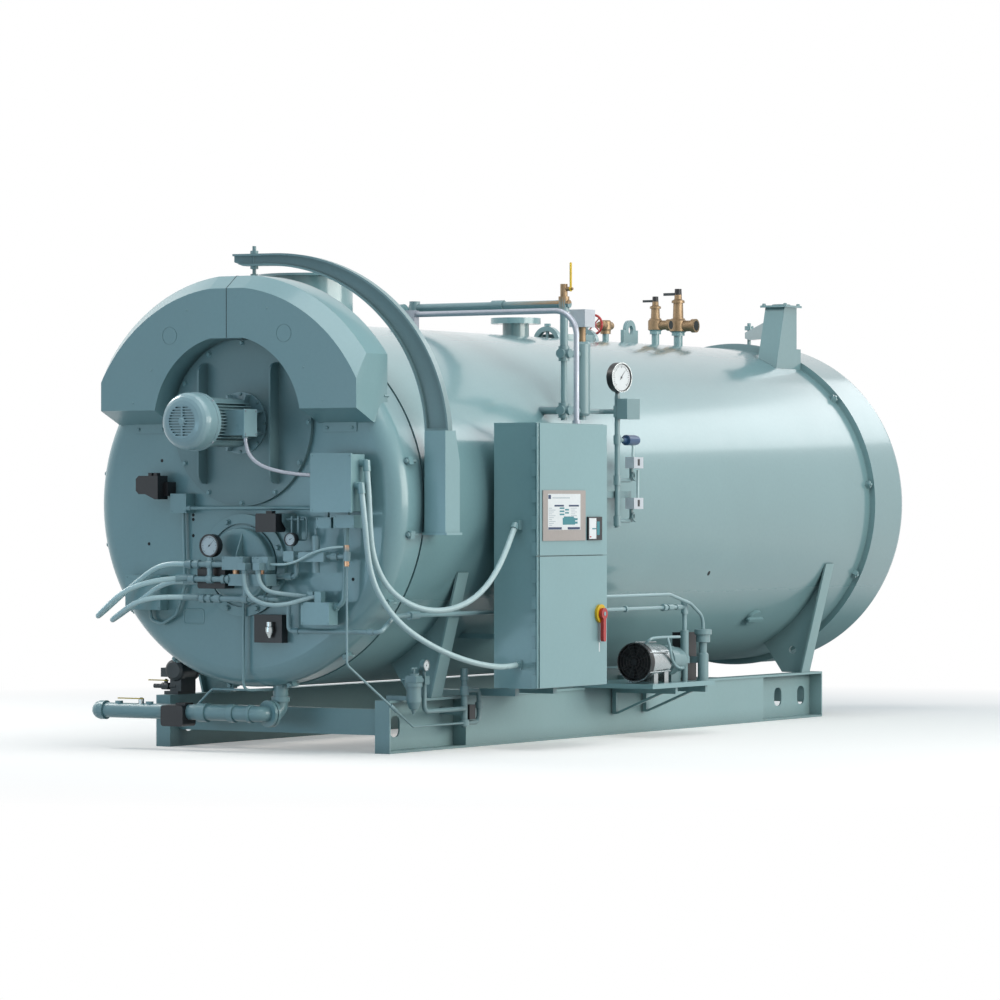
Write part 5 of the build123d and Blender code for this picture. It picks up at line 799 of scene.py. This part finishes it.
# Small control
# Black moulded controller beside the screen, pressed into the same door.
# It has a white window, a teal key strip and one red mark.
control_x = 1.4350
window_x = control_x + 0.0006
mark_x = window_x + 0.0003
shape = bmesh.new()
add_box(shape, (control_x, -1.484, 1.228), (window_x, -1.402, 1.350))
riding("control_face", shape, white_face, upper_door)
shape = bmesh.new()
add_box(shape, (control_x, -1.394, 1.250), (window_x, -1.362, 1.330))
add_box(shape, (window_x, -1.450, 1.284), (mark_x, -1.404, 1.291))
riding("control_bar", shape, screen_green, upper_door)
shape = bmesh.new()
add_box(shape, (window_x, -1.478, 1.236), (mark_x, -1.462, 1.244))
riding("control_mark", shape, red_enamel, upper_door)

# Water column
# Cast column beside the shell, between pipes with crosses that are screwed into the vessel.
# Its head is a pale box on a bronze neck, and the ball valve above the pipes has a lever in a vinyl sleeve.
bronze = material("bronze", casting, (0.33, 0.225, 0.130), roughness=0.42, metallic=0.6)
pale_box = material("pale_box", moulding, (0.66, 0.68, 0.72), roughness=0.42)
dress(pipe_paint, "water_column_piping", "water_column")
dress(yellow_vinyl, "column_valve_lever")
column_ball_valve = ((0.90, -1.60, 2.632), (1.40, -0.60, 2.90))
column_head = ((0.90, -1.60, 2.499), (1.40, -0.60, 2.70))
column_neck = ((0.90, -1.60, 2.414), (1.40, -0.60, 2.499))
paint("water_column_piping", bronze, column_ball_valve)
paint("water_column", pale_box, column_head)
paint("water_column", bronze, column_neck)

# Safety valves
# Two bronze valves screwed on painted nipples on the crown, with open outlets to the side.
# Each has a waisted bonnet, a black cap and an iron lifting lever.
dark_iron = material("dark_iron", casting, (0.055, 0.065, 0.070), roughness=0.45, metallic=0.3)
dress(bronze, "safety_valves")
valve_nipples = ((-0.10, 1.70, 2.40), (0.10, 2.30, 2.596))
small_valve_cap = ((-0.03, 1.80, 2.788), (0.03, 1.93, 2.84))
large_valve_cap = ((-0.03, 2.10, 2.845), (0.03, 2.25, 2.90))
lifting_levers = ((-0.12, 1.80, 2.77), (-0.025, 2.25, 2.96))
paint("safety_valves", front_paint, valve_nipples)
paint("safety_valves", black_plastic, small_valve_cap)
paint("safety_valves", black_plastic, large_valve_cap)
paint("safety_valves", dark_iron, lifting_levers)
valve_root_z = 2.440
valve_seat_z = valve_root_z + 0.160
# Near-black discs in the valve outlets are painted shade for the dark bores.
shape = bmesh.new()
for y, scale in ((1.862, 0.85), (2.175, 1.0)):
    z = valve_seat_z + 0.035 * scale
    add_rod(shape, (0.1395 * scale, y, z), (0.1405 * scale, y, z), radius=0.034 * scale, sides=24)
riding("safety_valve_bore_shade", shape, dark_slot, "boiler")

# Angle valve
# Bronze valve on a painted nipple on the crown, closed by a screwed spindle that points to the burner end.
# Its cast handwheel is enamelled red.
dress(bronze, "angle_valve")
dress(red_enamel, "angle_valve_handwheel")
angle_valve_nipple = ((-0.05, 1.10, 2.40), (0.05, 1.30, 2.553))
paint("angle_valve", front_paint, angle_valve_nipple)

# Pressure manifold
# Upright painted pipe with tees, on a strut off the casing. It carries the steam gauge, a blue transmitter
# and two pressure controls in pale cases, with coiled siphons under them and thin leads above.
blue_enamel = material("blue_enamel", enamel, (0.022, 0.085, 0.200), roughness=0.35, coat=0.2)
dress(pipe_paint, "pressure_manifold")
dress(line_paint, "pressure_instruments")
transmitter = ((1.13, -0.66, 1.78), (1.22, -0.45, 1.87))
steam_gauge_case = ((1.10, -0.81, 2.10), (1.26, -0.60, 2.30))
upper_control_case = ((1.165, -0.60, 1.645), (1.24, -0.47, 1.725))
lower_control_case = ((1.165, -0.60, 1.398), (1.24, -0.47, 1.477))
paint("pressure_instruments", blue_enamel, transmitter)
paint("pressure_instruments", black_plastic, steam_gauge_case)
paint("pressure_instruments", pale_box, upper_control_case)
paint("pressure_instruments", pale_box, lower_control_case)
control_bottoms = (1.403, 1.651)
siphon_r = 0.024
siphon_drop = 0.050
siphon_lead = 0.0012
siphon_steps = 24
shape = bmesh.new()
for bottom_z in control_bottoms:
    loop = []
    for step in range(siphon_steps + 1):
        angle = math.radians(-90 + 360 * step / siphon_steps)
        x = 1.178 + siphon_lead * step
        y = -0.533 + siphon_r * math.cos(angle)
        z = bottom_z - siphon_drop + siphon_r * math.sin(angle)
        loop.append(Vector((x, y, z)))
    add_tube(shape, loop, radius=0.006, sides=10)
riding("pressure_siphons", shape, pipe_paint, "boiler")
lead_x = 1.205
shape = bmesh.new()
for y, bottom_z, top_z in ((-0.560, 1.719, 1.790), (-0.500, 1.471, 1.640)):
    add_rod(shape, (lead_x, y, bottom_z), (lead_x, y, top_z), radius=0.008, sides=12)
riding("control_leads", shape, conduit_cover, "boiler")
control_front_x = 1.2300
shape = bmesh.new()
for bottom_z in control_bottoms:
    add_box(
        shape,
        (control_front_x, -0.545, bottom_z + 0.016),
        (control_front_x + 0.0006, -0.520, bottom_z + 0.056),
    )
riding("control_windows", shape, black_plastic, "boiler")

# Compressor
# Motor and air pump on a welded shelf at the vessel's side, with painted air pipes.
# The bare motor has a black fan end and painted feet, and the pump a black inlet filter.
dress(front_paint, "compressor_shelf")
dress(steel, "compressor_motor")
dress(pipe_paint, "air_compressor")
dress(line_paint, "air_piping")
fan_end = ((1.02, -0.449, 0.33), (1.28, -0.40, 0.60))
motor_feet = ((1.00, -0.46, 0.25), (1.30, 0.10, 0.342))
pump_filter = ((1.08, 0.14, 0.335), (1.185, 0.30, 0.65))
paint("compressor_motor", black_plastic, fan_end)
paint("compressor_motor", front_paint, motor_feet)
paint("air_compressor", black_plastic, pump_filter)

# Compressor guard
# Black wire rings welded to spokes over the motor's fan, with a round plate in the middle.
# Six bright tie rods run back along the motor.
motor_x = 1.153
motor_z = 0.466
guard_y = -0.4535
wire_r = 0.0022
ring_steps = 40
shape = bmesh.new()
for ring_r in (0.036, 0.056, 0.076, 0.096, 0.116):
    ring = []
    for step in range(ring_steps + 1):
        angle = math.tau * step / ring_steps
        x = motor_x + ring_r * math.cos(angle)
        z = motor_z + ring_r * math.sin(angle)
        ring.append(Vector((x, guard_y, z)))
    add_tube(shape, ring, radius=wire_r, sides=8)
for place in circle_places(motor_x, motor_z, radius=0.117, count=8, start=22.5, y=guard_y):
    add_rod(shape, (motor_x, guard_y, motor_z), place, radius=wire_r, sides=8)
hub_rear = (motor_x, guard_y + 0.0035, motor_z)
hub_front = (motor_x, guard_y - 0.0025, motor_z)
add_rod(shape, hub_rear, hub_front, radius=0.020, sides=24)
riding("compressor_guard", shape, black_plastic, "boiler")
tie_front_y = -0.445
tie_rear_y = -0.18
tie_front_places = circle_places(motor_x, motor_z, radius=0.122, count=6, start=30, y=tie_front_y)
tie_rear_places = circle_places(motor_x, motor_z, radius=0.117, count=6, start=30, y=tie_rear_y)
shape = bmesh.new()
for front_place, rear_place in zip(tie_front_places, tie_rear_places):
    add_rod(shape, front_place, rear_place, radius=0.004, sides=10)
riding("compressor_tie_rods", shape, steel, "boiler")

# Compressor lines
# Two thin bent steel tubes, painted in place.
# One leads over the motor from its fan end to the pump, and the other branches off and drops beside it.
motor_line_route = (
    (1200, -400, 575), (1225, -400, 600), (1235, -380, 612), (1240, -340, 615), (1240, -200, 615),
    (1235, -30, 612),
)
branch_line_route = (
    (1240, -193, 610), (1262, -205, 570), (1270, -208, 530), (1270, -195, 487), (1266, -150, 445),
    (1260, -90, 424), (1250, -20, 419), (1235, 20, 419),
)
shape = bmesh.new()
for route in (motor_line_route, branch_line_route):
    add_tube(shape, curve_points("compressor_line", route), radius=0.009, sides=10)
riding("compressor_lines", shape, line_paint, "boiler")

# Oil strainer, valves and pump
# Cast strainer and valve set on painted pipes on the right rail, and a dark iron pump set on the left one.
# One valve has a black body, and the pump's ball valve a lever in a vinyl sleeve.
dress(pipe_paint, "oil_strainer", "oil_valve_set")
dress(dark_iron, "fuel_pump_set")
dress(yellow_vinyl, "pump_valve_lever")
oil_valve_body = ((0.863, -1.985, 0.171), (0.917, -1.917, 0.259))
paint("oil_valve_set", black_plastic, oil_valve_body)


# Gauges
# Round gauges with a white dial, printed ticks and a pointer, screwed into their pipes.
# The burner's two have black cases and rims, and the steam and strainer gauges bright rims.
def dial(name, centre, facing, radius, pointer, body):
    """Dial, ticks and pointer of one gauge."""
    facing = Vector(facing).normalized()
    up = Vector((0, 0, 1))
    across = up.cross(facing).normalized()
    centre = Vector(centre)
    tick_count = 25
    sweep = 270
    shape = bmesh.new()
    add_rod(shape, centre, centre + facing * 0.001, radius=radius, sides=48)
    riding(name + "_dial", shape, white_face, body)
    shape = bmesh.new()
    lift = facing * 0.0012
    for tick in range(tick_count):
        angle = math.radians(-sweep / 2 + sweep * tick / (tick_count - 1))
        out = across * math.sin(angle) + up * math.cos(angle)
        inner = 0.72 if tick % 4 == 0 else 0.80
        tick_start = centre + lift + out * radius * inner
        tick_end = centre + lift + out * radius * 0.90
        add_rod(shape, tick_start, tick_end, radius=radius * 0.016, sides=6)
    angle = math.radians(pointer)
    out = across * math.sin(angle) + up * math.cos(angle)
    tail = centre + lift * 2 - out * radius * 0.2
    tip = centre + lift * 2 + out * radius * 0.7
    add_rod(shape, tail, tip, radius=radius * 0.03, sides=6, end_radius=0.0003)
    add_rod(shape, centre, centre + lift * 3, radius=radius * 0.08, sides=16)
    riding(name + "_marks", shape, black_plastic, body)


def add_ring(shape, centre, axis, inner, outer, depth, sides=40):
    """Flat ring with a square section."""
    axis = Vector(axis).normalized()
    first = axis.orthogonal().normalized()
    second = axis.cross(first)
    rows = []
    for radius, shift in ((inner, 0), (outer, 0), (outer, depth), (inner, depth)):
        row = []
        for corner in range(sides):
            angle = math.tau * corner / sides
            out = first * math.cos(angle) + second * math.sin(angle)
            row.append(shape.verts.new(Vector(centre) + axis * shift + out * radius))
        rows.append(row)
    for row, next_row in zip(rows, rows[1:] + rows[:1]):
        for corner in range(sides):
            following = (corner + 1) % sides
            shape.faces.new((row[corner], row[following], next_row[following], next_row[corner]))


dress(black_plastic, "burner_gauges")
side = (1, 0, 0)
steam_gauge_turn = math.radians(12)
steam_gauge_facing = Vector((math.cos(steam_gauge_turn), -math.sin(steam_gauge_turn), 0))
steam_gauge_centre = Vector((1.166, -0.705, 2.2))
supply_x = -0.097
supply_z = 1.194
pilot_x = 0.419
pilot_z = 1.231
strainer_y = -2.463
strainer_z = 0.503
steam_dial_centre = steam_gauge_centre + steam_gauge_facing * 0.0462
dial("steam_gauge", steam_dial_centre, steam_gauge_facing, radius=0.080, pointer=38, body="boiler")
dial("supply_gauge", (supply_x, -3.1852, supply_z), front, radius=0.057, pointer=48, body=door_body)
dial("pilot_gauge", (pilot_x, -3.1232, pilot_z), front, radius=0.0325, pointer=60, body=door_body)
dial("strainer_gauge", (0.9182, strainer_y, strainer_z), side, radius=0.0295, pointer=30, body="boiler")
shape = bmesh.new()
add_ring(shape, (supply_x, -3.190, supply_z), front, inner=0.0575, outer=0.0662, depth=0.003)
add_ring(shape, (pilot_x, -3.126, pilot_z), front, inner=0.0328, outer=0.0382, depth=0.002)
riding("burner_gauge_rims", shape, black_plastic, door_body)
shape = bmesh.new()
steam_rim_centre = steam_gauge_centre + steam_gauge_facing * 0.052
add_ring(shape, steam_rim_centre, steam_gauge_facing, inner=0.0855, outer=0.0905, depth=0.003)
add_ring(shape, (0.921, strainer_y, strainer_z), side, inner=0.0298, outer=0.0342, depth=0.002)
riding("side_gauge_rims", shape, steel, "boiler")

# Studio floor
# White floor that keeps the boiler's shadow near it and runs out into plain white further away.
# Only what is seen straight or by a reflection is white, so the floor throws little light up.
floor_edge = 60.0
shape = bmesh.new()
floor_corners = (
    (-floor_edge, -floor_edge, 0), (floor_edge, -floor_edge, 0),
    (floor_edge, floor_edge, 0), (-floor_edge, floor_edge, 0),
)
shape.faces.new([shape.verts.new(corner) for corner in floor_corners])
floor_mesh = bpy.data.meshes.new("floor")
shape.to_mesh(floor_mesh)
shape.free()
floor = bpy.data.objects.new("floor", floor_mesh)
scene.collection.objects.link(floor)


def seen_directly(tree):
    """One where the ray comes from the camera, straight or by a mirror or glass."""
    ray = tree.nodes.new("ShaderNodeLightPath")
    total = math_node(tree, "ADD", ray.outputs["Is Camera Ray"], ray.outputs["Is Glossy Ray"])
    total = math_node(tree, "ADD", total, ray.outputs["Is Transmission Ray"])
    return math_node(tree, "MINIMUM", total, 1.0)


shadow_reach = 4.2
white_from = 7.5
near_glow = 0.27
near_floor_color = (0.98, 0.91, 0.86)
bounce_color = (0.28, 0.30, 0.31, 1)
floor_white = bpy.data.materials.new("floor_white")
floor_white.use_nodes = True
floor_mesh.materials.append(floor_white)
tree = floor_white.node_tree
tree.nodes.clear()
reach = tree.nodes.new("ShaderNodeVectorMath")
reach.operation = "LENGTH"
tree.links.new(tree.nodes.new("ShaderNodeTexCoord").outputs["Object"], reach.inputs[0])
away = spread(tree, reach.outputs["Value"], low=0.0, high=1.0, start=shadow_reach, end=white_from)
glow = tree.nodes.new("ShaderNodeEmission")
glow.inputs["Color"].default_value = (1, 1, 1, 1)
tree.links.new(spread(tree, away, low=near_glow, high=1.0, start=0.0, end=1.0), glow.inputs["Strength"])
lit = tree.nodes.new("ShaderNodeBsdfDiffuse")
fading = tree.nodes.new("ShaderNodeVectorMath")
fading.operation = "SCALE"
fading.inputs[0].default_value = near_floor_color
tree.links.new(spread(tree, away, low=1.0, high=0.0, start=0.0, end=1.0), fading.inputs["Scale"])
tree.links.new(fading.outputs["Vector"], lit.inputs["Color"])
both = tree.nodes.new("ShaderNodeAddShader")
tree.links.new(glow.outputs["Emission"], both.inputs[0])
tree.links.new(lit.outputs["BSDF"], both.inputs[1])
plain = tree.nodes.new("ShaderNodeBsdfDiffuse")
plain.inputs["Color"].default_value = bounce_color
chosen = tree.nodes.new("ShaderNodeMixShader")
tree.links.new(seen_directly(tree), chosen.inputs["Fac"])
tree.links.new(plain.outputs["BSDF"], chosen.inputs[1])
tree.links.new(both.outputs["Shader"], chosen.inputs[2])
floor_end = tree.nodes.new("ShaderNodeOutputMaterial")
tree.links.new(chosen.outputs["Shader"], floor_end.inputs["Surface"])

# Studio surround
# White backdrop where it is seen, and a dim cool room for the light that it gives.
# The world's own nodes make both.
room_color = (0.18, 0.27, 0.34, 1)
world = bpy.data.worlds.new("studio")
scene.world = world
world.use_nodes = True
tree = world.node_tree
tree.nodes.clear()
surround = tree.nodes.new("ShaderNodeBackground")
surround.inputs["Color"].default_value = room_color
surround.inputs["Strength"].default_value = 1.0
backdrop = tree.nodes.new("ShaderNodeBackground")
backdrop.inputs["Color"].default_value = (1, 1, 1, 1)
backdrop.inputs["Strength"].default_value = 1.0
chosen = tree.nodes.new("ShaderNodeMixShader")
tree.links.new(seen_directly(tree), chosen.inputs["Fac"])
tree.links.new(surround.outputs["Background"], chosen.inputs[1])
tree.links.new(backdrop.outputs["Background"], chosen.inputs[2])
world_end = tree.nodes.new("ShaderNodeOutputWorld")
tree.links.new(chosen.outputs["Shader"], world_end.inputs["Surface"])


# Studio lights
# A broad soft panel on the cabinet side, one overhead, a low cool fill on the burner end and one at the left.
# A long window behind the boiler draws the highlight along the casing.
def panel_light(name, place, aim, width, height, power, color):
    """Rectangular light that faces a point."""
    data = bpy.data.lights.new(name, "AREA")
    data.shape = "RECTANGLE"
    data.size = width
    data.size_y = height
    data.energy = power
    data.color = color
    lamp = bpy.data.objects.new(name, data)
    lamp.location = place
    lamp.rotation_euler = (Vector(aim) - Vector(place)).to_track_quat("-Z", "Y").to_euler()
    scene.collection.objects.link(lamp)


panel_light(
    "cabinet_side_light", place=(11.5, 1, 3.2), aim=(0, 0.3, 1.2),
    width=10, height=4, power=730, color=(1.0, 0.99, 0.93),
)
panel_light(
    "overhead_light", place=(3, -3.5, 8.5), aim=(0, -1.5, 1.4),
    width=4, height=8, power=260, color=(0.98, 1.0, 1.0),
)
panel_light(
    "front_fill", place=(-3, -13, 0.9), aim=(0, -2, 1.0),
    width=6, height=1.6, power=115, color=(0.48, 0.80, 1.0),
)
panel_light(
    "rear_window", place=(7.2, 26.9, 12.9), aim=(0, 0, 1.4),
    width=20, height=5.0, power=640, color=(0.95, 0.98, 1.0),
)
panel_light(
    "left_light", place=(-8, -2.2, 7), aim=(-3, -3, 0),
    width=4, height=4, power=420, color=(1.0, 0.98, 0.95),
)
